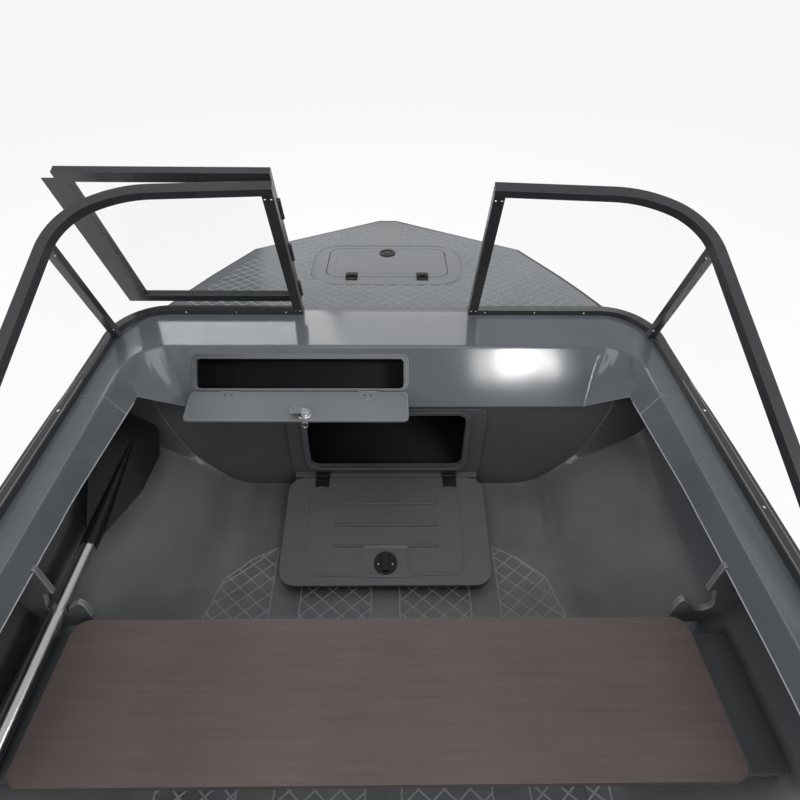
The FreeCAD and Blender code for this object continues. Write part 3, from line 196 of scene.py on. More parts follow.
def pale_floor():
    """Pale floor under the runners, near white to the camera and still shaded by the boat."""
    mat, tree = bare_material("pale_floor", keep_shader=False)
    matt = put(tree, "ShaderNodeBsdfDiffuse", {"Color": FLOOR_GREY})
    white = put(tree, "ShaderNodeEmission", {"Color": (1, 1, 1, 1), "Strength": 1.0})
    part = put(tree, "ShaderNodeMath", {1: FLOOR_WHITE}, operation="MULTIPLY")
    mix = put(tree, "ShaderNodeMixShader")
    link(tree, direct_view(tree), 0, part, 0)
    link(tree, part, 0, mix, 0)
    link(tree, matt, 0, mix, 1)
    link(tree, white, 0, mix, 2)
    link(tree, mix, 0, tree.nodes["Material Output"], "Surface")
    bm = bmesh.new()
    bmesh.ops.create_grid(bm, x_segments=1, y_segments=1, size=FLOOR_HALF)
    mesh = bpy.data.meshes.new("floor")
    bm.to_mesh(mesh)
    bm.free()
    mesh.materials.append(mat)
    ground = bpy.data.objects.new("floor", mesh)
    ground.location = (0, 0, -FLOOR_DOWN)
    scene.collection.objects.link(ground)


def softbox(name, place, aim, size, power):
    """Rectangular lamp that the camera doesn't see, only its light and its reflections."""
    data = bpy.data.lights.new(name, "AREA")
    data.shape = "RECTANGLE"
    data.size, data.size_y = size
    data.energy = power
    lamp = bpy.data.objects.new(name, data)
    scene.collection.objects.link(lamp)
    lamp.location = place
    way = Vector(aim) - Vector(place)
    lamp.rotation_euler = way.to_track_quat("-Z", "Y").to_euler()
    lamp.visible_camera = False


# Lamps: name, place, aim, size and power
LAMPS = (
    ("ceiling", (0.3, -0.9, 4.8), (0, 0.3, 0), (2.4, 1.6), 34),
    ("bow_port", (-1.45, 3.7, 3.35), (-0.46, 0.96, 0.70), (1.8, 1.0), 26),
    ("bow_middle", (0.15, 3.7, 3.30), (0.0, 0.96, 0.70), (1.3, 1.0), 11),
    ("aft_starboard", (1.36, -2.30, 3.42), (0.40, 0.85, 0.64), (0.40, 0.34), 19),
    ("aft_window", (1.70, -2.30, 3.40), (0.48, 0.85, 0.64), (0.16, 0.34), 5),
    ("aft_pale", (1.02, -2.30, 3.36), (0.32, 0.85, 0.64), (0.28, 0.36), 4),
    ("bow_wall", (0.7, 6.0, 3.2), (0.2, 1.2, 0.6), (5.0, 2.4), 34),
    ("port_fill", (-3.4, -0.6, 1.55), (0.7, 0.0, 0.6), (2.6, 0.9), 88),
    ("starboard_fill", (3.4, -0.6, 1.55), (-0.7, 0.0, 0.6), (2.6, 0.9), 80),
)

studio_world()
pale_floor()
for lamp_values in LAMPS:
    softbox(*lamp_values)


# Finishes: shared groups for grain, edges lighter as wear and as painted highlight, painted shade
# in hollows, and dust, then one material per slot

def node_group(name, entry, default, *exits):
    """Node group with one entry and some exits: the group and its two end nodes."""
    g = bpy.data.node_groups.new(name, "ShaderNodeTree")
    knob = g.interface.new_socket(name=entry, in_out="INPUT", socket_type="NodeSocketFloat")
    knob.default_value = default
    for label in exits:
        kind = "NodeSocketVector" if label == "Normal" else "NodeSocketFloat"
        g.interface.new_socket(name=label, in_out="OUTPUT", socket_type=kind)
    return g, put(g, "NodeGroupInput"), put(g, "NodeGroupOutput")


def grain_group():
    """Fine mould grain as a height for bumps, and slow waviness as a shade around 0.5."""
    g, enter, leave = node_group("grain", "Scale", GRAIN_SCALE, "Height", "Shade")
    coord = put(g, "ShaderNodeTexCoord")
    fine = put(g, "ShaderNodeTexNoise", {"Detail": 3.0, "Roughness": 0.6})
    slow = put(g, "ShaderNodeTexNoise", {"Scale": 3.5, "Detail": 4.0, "Roughness": 0.5})
    link(g, coord, "Object", fine, "Vector")
    link(g, coord, "Object", slow, "Vector")
    link(g, enter, "Scale", fine, "Scale")
    link(g, fine, "Fac", leave, "Height")
    link(g, slow, "Fac", leave, "Shade")
    return g


def edge_group():
    """Mask of edges painted lighter, partly as wear and partly as a painted highlight, and a normal
    that rounds them off.
    """
    g, enter, leave = node_group("worn_and_highlit_edges", "Radius", 0.003, "Mask", "Normal")
    bevel = put(g, "ShaderNodeBevel", samples=4)
    geo = put(g, "ShaderNodeNewGeometry")
    dot = put(g, "ShaderNodeVectorMath", operation="DOT_PRODUCT")
    mask = put(g, "ShaderNodeMapRange", {"From Min": 0.995, "From Max": 0.80, "To Max": 1.0})
    link(g, enter, "Radius", bevel, "Radius")
    link(g, bevel, "Normal", dot, 0)
    link(g, geo, "Normal", dot, 1)
    link(g, dot, "Value", mask, "Value")
    link(g, mask, "Result", leave, "Mask")
    link(g, bevel, "Normal", leave, "Normal")
    return g


def cavity_group():
    """Painted shade of hollows, multiplied into the colour: 1 in the open, towards 0 deep inside, and
    darker ahead of the bulkhead.
    """
    g, enter, leave = node_group("cavity", "Depth", 0.30, "Light")
    shade = put(g, "ShaderNodeAmbientOcclusion", samples=4)
    fall = put(g, "ShaderNodeMapRange", {"From Min": 0.08, "From Max": 0.62, "To Min": 0.05})
    steep = put(g, "ShaderNodeMapRange", {"From Min": 0.50, "From Max": 0.97, "To Min": 0.01})
    coord = put(g, "ShaderNodeTexCoord")
    split = put(g, "ShaderNodeSeparateXYZ")
    ahead = put(g, "ShaderNodeMapRange", {"From Min": BULKHEAD_Y, "From Max": BULKHEAD_Y + 0.03})
    mix = put(g, "ShaderNodeMix")
    link(g, enter, "Depth", shade, "Distance")
    link(g, shade, "AO", fall, "Value")
    link(g, shade, "AO", steep, "Value")
    link(g, coord, "Object", split, 0)
    link(g, split, "Y", ahead, "Value")
    link(g, ahead, "Result", mix, "Factor")
    link(g, fall, "Result", mix, "A")
    link(g, steep, "Result", mix, "B")
    link(g, mix, "Result", leave, "Light")
    return g


def dust_group():
    """Thin dust that settles on what faces up, in soft patches."""
    g, enter, leave = node_group("dust", "Amount", 0.1, "Mask")
    coord = put(g, "ShaderNodeTexCoord")
    geo = put(g, "ShaderNodeNewGeometry")
    split = put(g, "ShaderNodeSeparateXYZ")
    upward = put(g, "ShaderNodeMapRange", {"From Min": 0.5, "From Max": 1.0})
    cloud = put(g, "ShaderNodeTexNoise", {"Scale": 9.0, "Detail": 6.0, "Roughness": 0.65})
    patch = put(g, "ShaderNodeMapRange", {"From Min": 0.0, "From Max": 0.9})
    both = put(g, "ShaderNodeMath", operation="MULTIPLY")
    scaled = put(g, "ShaderNodeMath", operation="MULTIPLY")
    link(g, geo, "Normal", split, 0)
    link(g, split, "Z", upward, "Value")
    link(g, coord, "Object", cloud, "Vector")
    link(g, cloud, "Fac", patch, "Value")
    link(g, upward, "Result", both, 0)
    link(g, patch, "Result", both, 1)
    link(g, both, 0, scaled, 0)
    link(g, enter, "Amount", scaled, 1)
    link(g, scaled, 0, leave, "Mask")
    return g


BULKHEAD_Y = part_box("bow_bulkhead")[0].y + 0.02
GRAIN_SCALE = 900.0
GRAIN = grain_group()
EDGES = edge_group()
# Painted shade of hollows, multiplied into the base colours
HOLLOW_SHADE = cavity_group()
DUST = dust_group()
DUST_COLOR = (0.36, 0.36, 0.35, 1)
DUST_DULLS = 0.35
# Gain of the lighter edge colour, which is partly wear and partly a painted highlight
WEAR_AND_HIGHLIGHT_GAIN = 2.6
GRAIN_DEPTH = 0.0004


def grouped(tree, group, **values):
    node = put(tree, "ShaderNodeGroup", node_tree=group)
    for key, value in values.items():
        node.inputs[key].default_value = value
    return node


def finish(name, color, rough, metal=0.0, bump=0.02, edge=0.003, wear_and_highlight=0.5, dust=0.05,
           shine=0.5, painted_shade_depth=0.0):
    """Base colour with mould grain, edges lighter partly as wear and partly as a painted highlight, a
    little dust, and painted shade in hollows.
    """
    mat, tree = bare_material(name)
    shader = tree.nodes["Principled BSDF"]
    shader.inputs["Metallic"].default_value = metal
    shader.inputs["Specular IOR Level"].default_value = shine
    mould = grouped(tree, GRAIN, Scale=GRAIN_SCALE)
    edges = grouped(tree, EDGES, Radius=edge)
    settled = grouped(tree, DUST, Amount=dust)
    shade = spread(tree, 0.92, 1.08)
    tinted = multiplied(tree)
    tinted.inputs["A"].default_value = (*color, 1)
    # Lighter edge colour: partly wear, partly a painted highlight
    worn_and_highlit = put(tree, "ShaderNodeMix", data_type="RGBA")
    worn_and_highlit.inputs["B"].default_value = (*[min(1.0, c * WEAR_AND_HIGHLIGHT_GAIN + 0.01) for c in color], 1)
    wear_and_highlight_share = put(tree, "ShaderNodeMath", {1: wear_and_highlight}, operation="MULTIPLY")
    dusty = put(tree, "ShaderNodeMix", data_type="RGBA")
    dusty.inputs["B"].default_value = DUST_COLOR
    dulled = put(tree, "ShaderNodeMath", {1: DUST_DULLS}, operation="MULTIPLY_ADD")
    varied = spread(tree, rough * 0.85, rough * 1.15)
    relief = put(tree, "ShaderNodeBump", {"Strength": bump, "Distance": GRAIN_DEPTH})
    link(tree, mould, "Shade", shade, "Value")
    link(tree, shade, "Result", tinted, "B")
    link(tree, edges, "Mask", wear_and_highlight_share, 0)
    link(tree, wear_and_highlight_share, 0, worn_and_highlit, "Factor")
    link(tree, tinted, "Result", worn_and_highlit, "A")
    link(tree, settled, "Mask", dusty, "Factor")
    link(tree, worn_and_highlit, "Result", dusty, "A")
    # Painted shade: the colour is darkened in hollows, and more ahead of the bulkhead
    if painted_shade_depth:
        inside = grouped(tree, HOLLOW_SHADE, Depth=painted_shade_depth)
        dark = multiplied(tree)
        link(tree, dusty, "Result", dark, "A")
        link(tree, inside, "Light", dark, "B")
        link(tree, dark, "Result", shader, "Base Color")
    else:
        link(tree, dusty, "Result", shader, "Base Color")
    link(tree, mould, "Shade", varied, "Value")
    link(tree, settled, "Mask", dulled, 0)
    link(tree, varied, "Result", dulled, 2)
    link(tree, dulled, 0, shader, "Roughness")
    link(tree, mould, "Height", relief, "Height")
    link(tree, edges, "Normal", relief, "Normal")
    link(tree, relief, "Normal", shader, "Normal")
    return mat


def clear_sheet(name):
    """Clear pane: mostly see-through, with a faint reflection."""
    mat, tree = bare_material(name, keep_shader=False)
    out = tree.nodes["Material Output"]
    through = put(tree, "ShaderNodeBsdfTransparent", {"Color": (0.992, 0.996, 0.996, 1)})
    shine = put(tree, "ShaderNodeBsdfGlossy", {"Roughness": 0.03})
    mix = put(tree, "ShaderNodeMixShader", {"Fac": 0.012})
    link(tree, through, 0, mix, 1)
    link(tree, shine, 0, mix, 2)
    link(tree, mix, 0, out, "Surface")
    return mat


def plywood(name):
    """Brown film-faced plywood, with the faint print of the veneer along the plank."""
    mat = finish(name, (0.074, 0.054, 0.050), 0.36, bump=0.05, edge=0.002, wear_and_highlight=0.3, dust=0.05)
    tree = mat.node_tree
    shader = tree.nodes["Principled BSDF"]
    coord = put(tree, "ShaderNodeTexCoord")
    squeezed = put(tree, "ShaderNodeMapping")
    squeezed.inputs["Scale"].default_value = (1.2, 26.0, 8.0)
    veneer = put(tree, "ShaderNodeTexNoise", {"Scale": 4.0, "Detail": 5.0, "Roughness": 0.7})
    tone = spread(tree, 0.86, 1.12)
    mix = multiplied(tree)
    base = shader.inputs["Base Color"].links[0].from_socket
    link(tree, coord, "Object", squeezed, "Vector")
    link(tree, squeezed, 0, veneer, "Vector")
    link(tree, veneer, "Fac", tone, "Value")
    tree.links.new(base, mix.inputs["A"])
    link(tree, tone, "Result", mix, "B")
    link(tree, mix, "Result", shader, "Base Color")
    return mat


def brushed(name, color, rough):
    """Drawn metal with fine marks along its length."""
    mat = finish(name, color, rough, metal=1.0, bump=0.0, edge=0.001, wear_and_highlight=0.1, dust=0.03)
    tree = mat.node_tree
    coord = put(tree, "ShaderNodeTexCoord")
    stretched = put(tree, "ShaderNodeMapping")
    stretched.inputs["Scale"].default_value = (1.0, 0.02, 1.0)
    marks = put(tree, "ShaderNodeTexNoise", {"Scale": 900.0, "Detail": 2.0})
    relief = put(tree, "ShaderNodeBump", {"Strength": 0.12, "Distance": 0.0003})
    shader = tree.nodes["Principled BSDF"]
    link(tree, coord, "Object", stretched, "Vector")
    link(tree, stretched, 0, marks, "Vector")
    link(tree, marks, "Fac", relief, "Height")
    link(tree, relief, "Normal", shader, "Normal")
    return mat


DECK_GREY = (0.088, 0.098, 0.110)
LINER_GREY = (0.072, 0.076, 0.083)
# In these finishes the darkening of hollows is painted shade, and the lighter edges are partly wear
# and partly a painted highlight
materials = {
    "hull_plastic": finish("hull_plastic", (0.066, 0.071, 0.078), 0.34, dust=0.36, painted_shade_depth=0.45),
    "deck_plastic": finish("deck_plastic", DECK_GREY, 0.11, edge=0.005, wear_and_highlight=1.0),
    "liner_plastic": finish("liner_plastic", LINER_GREY, 0.36, wear_and_highlight=1.0, painted_shade_depth=0.10),
    "rub_rail_rubber": finish("rub_rail_rubber", (0.018, 0.018, 0.019), 0.5, bump=0.2, wear_and_highlight=0.3),
    "glovebox_plastic": finish("glovebox_plastic", (0.125, 0.135, 0.145), 0.30, edge=0.0022,
                               wear_and_highlight=1.0, painted_shade_depth=0.42),
    "lock_chrome": finish("lock_chrome", (0.62, 0.62, 0.63), 0.16, metal=1.0, bump=0.0, dust=0.0),
    "hinge_steel": finish("hinge_steel", (0.20, 0.20, 0.21), 0.42, metal=1.0, bump=0.0, dust=0.0),
    "black_fittings": finish("black_fittings", (0.006, 0.006, 0.007), 0.42, edge=0.0012, wear_and_highlight=0.4,
                             dust=0.01, shine=0.25),
    "seat_plywood": plywood("seat_plywood"),
    "oar_aluminium": brushed("oar_aluminium", (0.60, 0.61, 0.63), 0.24),
    "oar_plastic": finish("oar_plastic", (0.005, 0.005, 0.006), 0.34, edge=0.002, wear_and_highlight=0.6,
                          dust=0.01, shine=0.3),
    "screen_pane": clear_sheet("screen_pane"),
    "screen_frame": finish("screen_frame", (0.024, 0.024, 0.027), 0.26, edge=0.0018, wear_and_highlight=1.0,
                           dust=0.02),
    "socket_metal": finish("socket_metal", (0.50, 0.50, 0.50), 0.30, metal=1.0, bump=0.0),
}
tread_plastic = finish("tread_plastic", (0.200, 0.215, 0.230), 0.34, edge=0.001, wear_and_highlight=0.3)
floor_tread = finish("floor_tread", (0.210, 0.220, 0.230), 0.40, edge=0.001, wear_and_highlight=0.3)
# Darker copy of the glovebox plastic for the inside of the bin: painted shade
bin_painted_shade = finish("bin_painted_shade", (0.030, 0.032, 0.035), 0.40, edge=0.002, painted_shade_depth=0.30, shine=0.3)
# Pale grey of the rail lips: a painted highlight along the rail edges
rail_lip_highlight = finish("rail_lip_highlight", (0.16, 0.16, 0.165), 0.30, edge=0.001, wear_and_highlight=0.3)
# Pale grey of the rim lip rod: a painted highlight along the lower lip
lip_highlight_grey = finish("lip_highlight_grey", (0.30, 0.31, 0.325), 0.26, edge=0.001, wear_and_highlight=0.3)
# Oar hooks: strongly lightened edges, partly wear and partly a painted highlight
hook_plastic = finish("hook_plastic", (0.105, 0.110, 0.117), 0.30, edge=0.005, wear_and_highlight=2.0)
dark_screw = finish("dark_screw", (0.012, 0.012, 0.013), 0.4, edge=0.0005, shine=0.3)
bright_steel = finish("bright_steel", (0.58, 0.58, 0.58), 0.24, metal=1.0, bump=0.0, dust=0.0)

for piece in frame["record"]["subparts"]:
    mesh = nodes[piece["node"]].data
    mesh.materials.clear()
    mesh.materials.append(materials[piece["material_slot"]])
# The bin gets the darker copy as painted shade inside the glovebox
nodes["glovebox_bin"].data.materials[0] = bin_painted_shade
for name in nodes:
    if name.startswith("oar_hook_"):
        nodes[name].data.materials[0] = hook_plastic


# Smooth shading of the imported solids: welded, then split again at their real edges
SOLID_WELD = 0.00002
SOLID_EDGE = math.radians(24)
FLAT_WEIGHT = 100
for node in nodes.values():
    mesh = node.data
    if "custom_normal" in mesh.attributes:
        mesh.attributes.remove(mesh.attributes["custom_normal"])
    mesh.polygons.foreach_set("use_smooth", [True] * len(mesh.polygons))
    weld = node.modifiers.new("weld", "WELD")
    weld.merge_threshold = SOLID_WELD
    split = node.modifiers.new("edges", "EDGE_SPLIT")
    split.split_angle = SOLID_EDGE
    flat = node.modifiers.new("flat", "WEIGHTED_NORMAL")
    flat.weight = FLAT_WEIGHT


# Modelling helpers

PIECE_WELD = 1e-6
PIECE_EDGE = math.radians(35)
SCREW_CROWN = 0.55
SCREW_HEIGHT = 0.6
OUTLINE_STEP = 0.012


def made(name, bm, material, body, smooth=False):
    """Turns a finished mesh, drawn in place, into a piece that rides on a body."""
    bmesh.ops.remove_doubles(bm, verts=bm.verts, dist=PIECE_WELD)
    bmesh.ops.recalc_face_normals(bm, faces=bm.faces)
    mesh = bpy.data.meshes.new(name)
    bm.to_mesh(mesh)
    bm.free()
    if smooth:
        mesh.polygons.foreach_set("use_smooth", [True] * len(mesh.polygons))
        mesh.set_sharp_from_angle(angle=PIECE_EDGE)
    mesh.materials.append(material)
    obj = bpy.data.objects.new(name, mesh)
    scene.collection.objects.link(obj)
    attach(obj, body)


def tree_of(*names):
    """Ray-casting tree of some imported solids."""
    points, faces = [], []
    for name in names:
        mesh = nodes[name].data
        start = len(points)
        points += [v.co.copy() for v in mesh.vertices]
        faces += [[start + i for i in p.vertices] for p in mesh.polygons]
    return BVHTree.FromPolygons(points, faces)


def top_of(tree, x, y, start):
    """Height of the surface under (x, y), cast down from start, or None."""
    hit = tree.ray_cast(Vector((x, y, start)), Vector((0, 0, -1)))
    return hit[0].z if hit[0] else None


def crossings(origin, way, outline):
    """Where a line crosses a closed outline, as sorted distances along the line."""
    out = []
    for i, a in enumerate(outline):
        b = outline[(i + 1) % len(outline)]
        side_a = way.x * (a[1] - origin.y) - way.y * (a[0] - origin.x)
        side_b = way.x * (b[1] - origin.y) - way.y * (b[0] - origin.x)
        if (side_a < 0) != (side_b < 0):
            f = side_a / (side_a - side_b)
            x = a[0] + (b[0] - a[0]) * f
            y = a[1] + (b[1] - a[1]) * f
            out.append((x - origin.x) * way.x + (y - origin.y) * way.y)
    return sorted(out)


def spans(origin, way, outline, hole):
    """Stretches of a line inside the outline and outside the hole."""
    cuts = crossings(origin, way, outline)
    inside = list(zip(cuts[::2], cuts[1::2]))
    if not hole:
        return inside
    gone = crossings(origin, way, hole)
    for a, b in zip(gone[::2], gone[1::2]):
        left = []
        for s, e in inside:
            left += [(s, min(e, a)), (max(s, b), e)]
        inside = [(s, e) for s, e in left if e - s > LINE_SHORTEST]
    return inside


def ridge(bm, path, wide, high, closed=False):
    """Raised line with sloping sides along points on a surface that faces up."""
    n = len(path)
    rows = []
    for i, p in enumerate(path):
        before = path[(i - 1) % n] if closed or i > 0 else p
        after = path[(i + 1) % n] if closed or i < n - 1 else p
        way = (after - before).normalized()
        side = way.cross(Z_AXIS).normalized()
        lift = side.cross(way)
        row = []
        for across, up in ((-0.5, -0.4), (-0.22, 1.0), (0.22, 1.0), (0.5, -0.4)):
            row.append(bm.verts.new(p + side * (across * wide) + lift * (up * high)))
        rows.append(row)
    stretches = n if closed else n - 1
    for i in range(stretches):
        a, b = rows[i], rows[(i + 1) % n]
        for k in range(3):
            bm.faces.new((a[k], a[k + 1], b[k + 1], b[k]))
    if not closed:
        bm.faces.new(rows[0])
        bm.faces.new(reversed(rows[-1]))


def laid(tree, points, start, step=LINE_STEP):
    """Points on a surface, cast down along a flat polyline, about a step apart."""
    out = []
    for (ax, ay), (bx, by) in zip(points, points[1:]):
        long = math.hypot(bx - ax, by - ay)
        count = max(1, round(long / step))
        for k in range(count):
            f = k / count
            out.append((ax + (bx - ax) * f, ay + (by - ay) * f))
    out.append(points[-1])
    placed = [(x, y, top_of(tree, x, y, start)) for x, y in out]
    return [Vector(p) for p in placed if p[2] is not None]


def tread(bm, tree, outline, hole, diamond, start):
    """Diamond pattern of raised lines inside an outline."""
    across, along = diamond
    xs = [p[0] for p in outline]
    ys = [p[1] for p in outline]
    reach = (max(ys) - min(ys)) * across / along
    for lean in (1, -1):
        way = Vector((across, along * lean)).normalized()
        first = math.floor((min(xs) - reach) / across)
        last = math.ceil((max(xs) + reach) / across)
        for k in range(first, last + 1):
            y0 = min(ys) if lean > 0 else max(ys)
            origin = Vector((k * across, y0))
            for s, e in spans(origin, way, outline, hole):
                a, b = origin + way * s, origin + way * e
                path = laid(tree, [tuple(a), tuple(b)], start)
                if len(path) > 1:
                    ridge(bm, path, LINE_WIDE, LINE_HIGH)


def border(bm, tree, outline, start):
    """Raised line along a whole outline."""
    path = laid(tree, list(outline) + [outline[0]], start)
    ridge(bm, path, LINE_WIDE, LINE_HIGH)


def rolled_line(bm, tree, outline, wide, high):
    """Finer raised line along a whole outline on the decks, without a seam."""
    path = laid(tree, outline + [outline[0]], ABOVE_DECKS, step=OUTLINE_STEP)[:-1]
    ridge(bm, path, wide, high, closed=True)


def bridge(bm, a, b):
    """Faces between two closed rows with as many points."""
    for k in range(len(a)):
        j = (k + 1) % len(a)
        bm.faces.new((a[k], a[j], b[j], b[k]))


def rounded(x0, x1, y0, y1, r, steps=6):
    """Rounded rectangle as flat points, counter-clockwise."""
    out = []
    corners = ((x1 - r, y1 - r, 0), (x0 + r, y1 - r, 90), (x0 + r, y0 + r, 180), (x1 - r, y0 + r, 270))
    for cx, cy, start in corners:
        for k in range(steps + 1):
            a = math.radians(start + 90 * k / steps)
            out.append((cx + r * math.cos(a), cy + r * math.sin(a)))
    return out


def band(bm, outer, inner, n0, n1, lift=0.0):
    """Flat ring between two outlines with as many points, its inner edge lifted."""
    loops = []
    for points, n in ((outer, n0), (outer, n1), (inner, n1 + lift), (inner, n0)):
        loops.append([bm.verts.new((x, y, n)) for x, y in points])
    for i in range(4):
        bridge(bm, loops[i], loops[(i + 1) % 4])


def rim(bm, x0, x1, y0, y1, wide, corners, n0, n1, lift=0.0):
    """Band inside a rounded rectangle, from the outer and inner radii of its corners."""
    outer = rounded(x0, x1, y0, y1, corners[0])
    inner = rounded(x0 + wide, x1 - wide, y0 + wide, y1 - wide, corners[1])
    band(bm, outer, inner, n0, n1, lift)


def slab(bm, outline, n0, n1):
    """Flat plate from an outline, from n0 to n1."""
    bottom = [bm.verts.new((x, y, n0)) for x, y in outline]
    top = [bm.verts.new((x, y, n1)) for x, y in outline]
    bm.faces.new(reversed(bottom))
    bm.faces.new(top)
    bridge(bm, bottom, top)


def rod(bm, path, r, sides=6):
    """Round rod along points that run about fore and aft."""
    rows = []
    for p in path:
        row = []
        for k in range(sides):
            a = 2 * math.pi * k / sides
            row.append(bm.verts.new(p + X_AXIS * (r * math.cos(a)) + Z_AXIS * (r * math.sin(a))))
        rows.append(row)
    for a, b in zip(rows, rows[1:]):
        bridge(bm, a, b)
    bm.faces.new(rows[0])
    bm.faces.new(reversed(rows[-1]))


def tube_ring(bm, centre, radius, thick, rounds=22, sides=8):
    """Upright wire ring facing aft."""
    grid = []
    for i in range(rounds):
        a = 2 * math.pi * i / rounds
        way = Vector((math.cos(a), 0, math.sin(a)))
        row = []
        for k in range(sides):
            b = 2 * math.pi * k / sides
            offset = way * (math.cos(b) * thick) + Y_AXIS * (math.sin(b) * thick)
            row.append(bm.verts.new(centre + way * radius + offset))
        grid.append(row)
    for i in range(rounds):
        bridge(bm, grid[i], grid[(i + 1) % rounds])


def disc(bm, place, r, r_top, depth, segments):
    """Low cone round an upright axis, with its middle at place."""
    fresh = bmesh.ops.create_cone(bm, cap_ends=True, segments=segments, radius1=r, radius2=r_top,
                                  depth=depth)
    bmesh.ops.translate(bm, vec=place, verts=fresh["verts"])


def moved(bm, plane):
    """Lays all that is drawn so far on a plane."""
    bmesh.ops.transform(bm, matrix=plane, verts=bm.verts)


def plane_at(origin, across, along):
    """Matrix that lays flat points on a plane through origin."""
    x, y = Vector(across).normalized(), Vector(along).normalized()
    z = x.cross(y)
    turn = Matrix((x, y, z)).transposed().to_4x4()
    return Matrix.Translation(origin) @ turn


def dash_plane():
    """Dash face: x to starboard, y down from the ridge, z into the dash."""
    fall = Vector((0, LIP[0] - RIDGE[0], LIP[1] - RIDGE[1]))
    return plane_at((0, *RIDGE), X_AXIS, fall)


def screw(bm, place, out, r=0.0035):
    """Domed screw head standing on a surface at place, facing out."""
    turn = out.to_track_quat("Z", "Y").to_matrix().to_4x4()
    fresh = bmesh.ops.create_cone(bm, cap_ends=True, segments=14, radius1=r,
                                  radius2=r * SCREW_CROWN, depth=r * SCREW_HEIGHT)
    bmesh.ops.transform(bm, matrix=Matrix.Translation(place) @ turn, verts=fresh["verts"])


# Foredeck: diamond tread round a plain panel and a plain stripe up to the bow

FOREDECK_DIAMOND = (0.050, 0.041)
TREAD_ROWS = (1.098, 1.2, 1.3, 1.45, 1.6, 1.75)
TREAD_EDGE = 0.042
TREAD_BOW_GAP = 0.05
STRIPE_HALF = 0.055
STRIPE_BOW_GAP = 0.06
HATCH_PANEL = (0.277, 1.348, 1.690)
HATCH_PANEL_CORNER = 0.10
HALVINGS = 14
LID_LINE_INSET = 0.028
LID_LINE_CORNER = 0.03
LATCH_KEY = (0.0095, 0.0085, 0.003)


def foredeck_half(tree, y):
    """Half width of the foredeck at y, found by casting down on it."""
    inner, outer = 0.0, 0.9
    for _ in range(HALVINGS):
        middle = (inner + outer) / 2
        if top_of(tree, middle, y, ABOVE_DECKS) is None:
            outer = middle
        else:
            inner = middle
    return inner


def foredeck_tread():
    """Diamonds over the foredeck, and a line along both sides of the plain stripe."""
    tree = tree_of("foredeck", "foredeck_hatch_lid")
    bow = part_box("foredeck")[1].y
    rows = [*TREAD_ROWS, bow - TREAD_BOW_GAP]
    side = [(max(foredeck_half(tree, y) - TREAD_EDGE, 0.01), y) for y in rows]
    outline = side + [(-x, y) for x, y in reversed(side)]
    half, y0, y1 = HATCH_PANEL
    panel = rounded(-half, half, y0, y1, HATCH_PANEL_CORNER)
    stripe = [(STRIPE_HALF, y1), (STRIPE_HALF, bow + 0.1), (-STRIPE_HALF, bow + 0.1),
              (-STRIPE_HALF, y1)]
    steps = len(panel) // 4
    hole = panel[:steps] + stripe + panel[steps:]
    bm = bmesh.new()
    tread(bm, tree, outline, hole, FOREDECK_DIAMOND, ABOVE_DECKS)
    for x in (STRIPE_HALF, -STRIPE_HALF):
        path = laid(tree, [(x, y1 + 0.01), (x, bow - STRIPE_BOW_GAP)], ABOVE_DECKS)
        ridge(bm, path, LINE_WIDE * 0.8, LINE_HIGH)
    made("foredeck_tread", bm, tread_plastic, "boat")


def hatch_surround():
    """Plain raised panel round the foredeck hatch, with a rolled outer edge."""
    tree = tree_of("foredeck", "foredeck_hatch_lid")
    half, y0, y1 = HATCH_PANEL
    outline = rounded(-half, half, y0, y1, HATCH_PANEL_CORNER)
    bm = bmesh.new()
    rolled_line(bm, tree, outline, 0.012, 0.0016)
    made("hatch_surround", bm, materials["deck_plastic"], "boat", smooth=True)


def hatch_details():
    """Inset line on the hatch lid and the ring of its round latch."""
    lid_low, lid_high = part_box("foredeck_hatch_lid")
    tree = tree_of("foredeck_hatch_lid")
    inset = LID_LINE_INSET
    outline = rounded(lid_low.x + inset, lid_high.x - inset, lid_low.y + inset, lid_high.y - inset,
                      LID_LINE_CORNER)
    bm = bmesh.new()
    rolled_line(bm, tree, outline, 0.004, 0.0006)
    made("hatch_lid_line", bm, materials["deck_plastic"], "foredeck_hatch")
    latch_low, latch_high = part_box("foredeck_hatch_latch")
    centre = (latch_low + latch_high) / 2
    bm = bmesh.new()
    disc(bm, (centre.x, centre.y, centre.z + 0.001), *LATCH_KEY, 32)
    made("hatch_latch_key", bm, dark_screw, "foredeck_hatch", smooth=True)


# Cockpit floor: four panels of tread between plain stripes

FLOOR_DIAMOND = (0.057, 0.047)
PANEL_AFT_Y = -1.46
PANEL_INNER = (0.040, 0.240)
PANEL_OUTER = ((0.323, PANEL_AFT_Y), (0.470, PANEL_AFT_Y), (0.497, PANEL_AFT_Y + 0.12),
               (0.497, 0.359), (0.466, 0.472), (0.400, 0.535), (0.323, 0.575))
LOCKER_GAP = 0.004


def floor_tread_panels():
    """An inner panel up to the locker and a longer outer one, on each side."""
    floor = ["hull_bottom"] + [n for n in nodes if n.startswith(("hull_side_", "hull_shoulder_"))]
    tree = tree_of(*floor)
    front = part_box("locker_box")[0].y - LOCKER_GAP
    x0, x1 = PANEL_INNER
    inner = ((x0, PANEL_AFT_Y), (x1, PANEL_AFT_Y), (x1, front), (x0, front))
    for side, sign in SIDES:
        bm = bmesh.new()
        for shape in (inner, PANEL_OUTER):
            outline = [(x * sign, y) for x, y in shape]
            tread(bm, tree, outline, None, FLOOR_DIAMOND, ABOVE_FLOOR)
            border(bm, tree, outline, ABOVE_FLOOR)
        made("floor_tread_" + side, bm, floor_tread, "boat")


# Locker lid: ribs, a panel line, a latch recess and the latch's screws

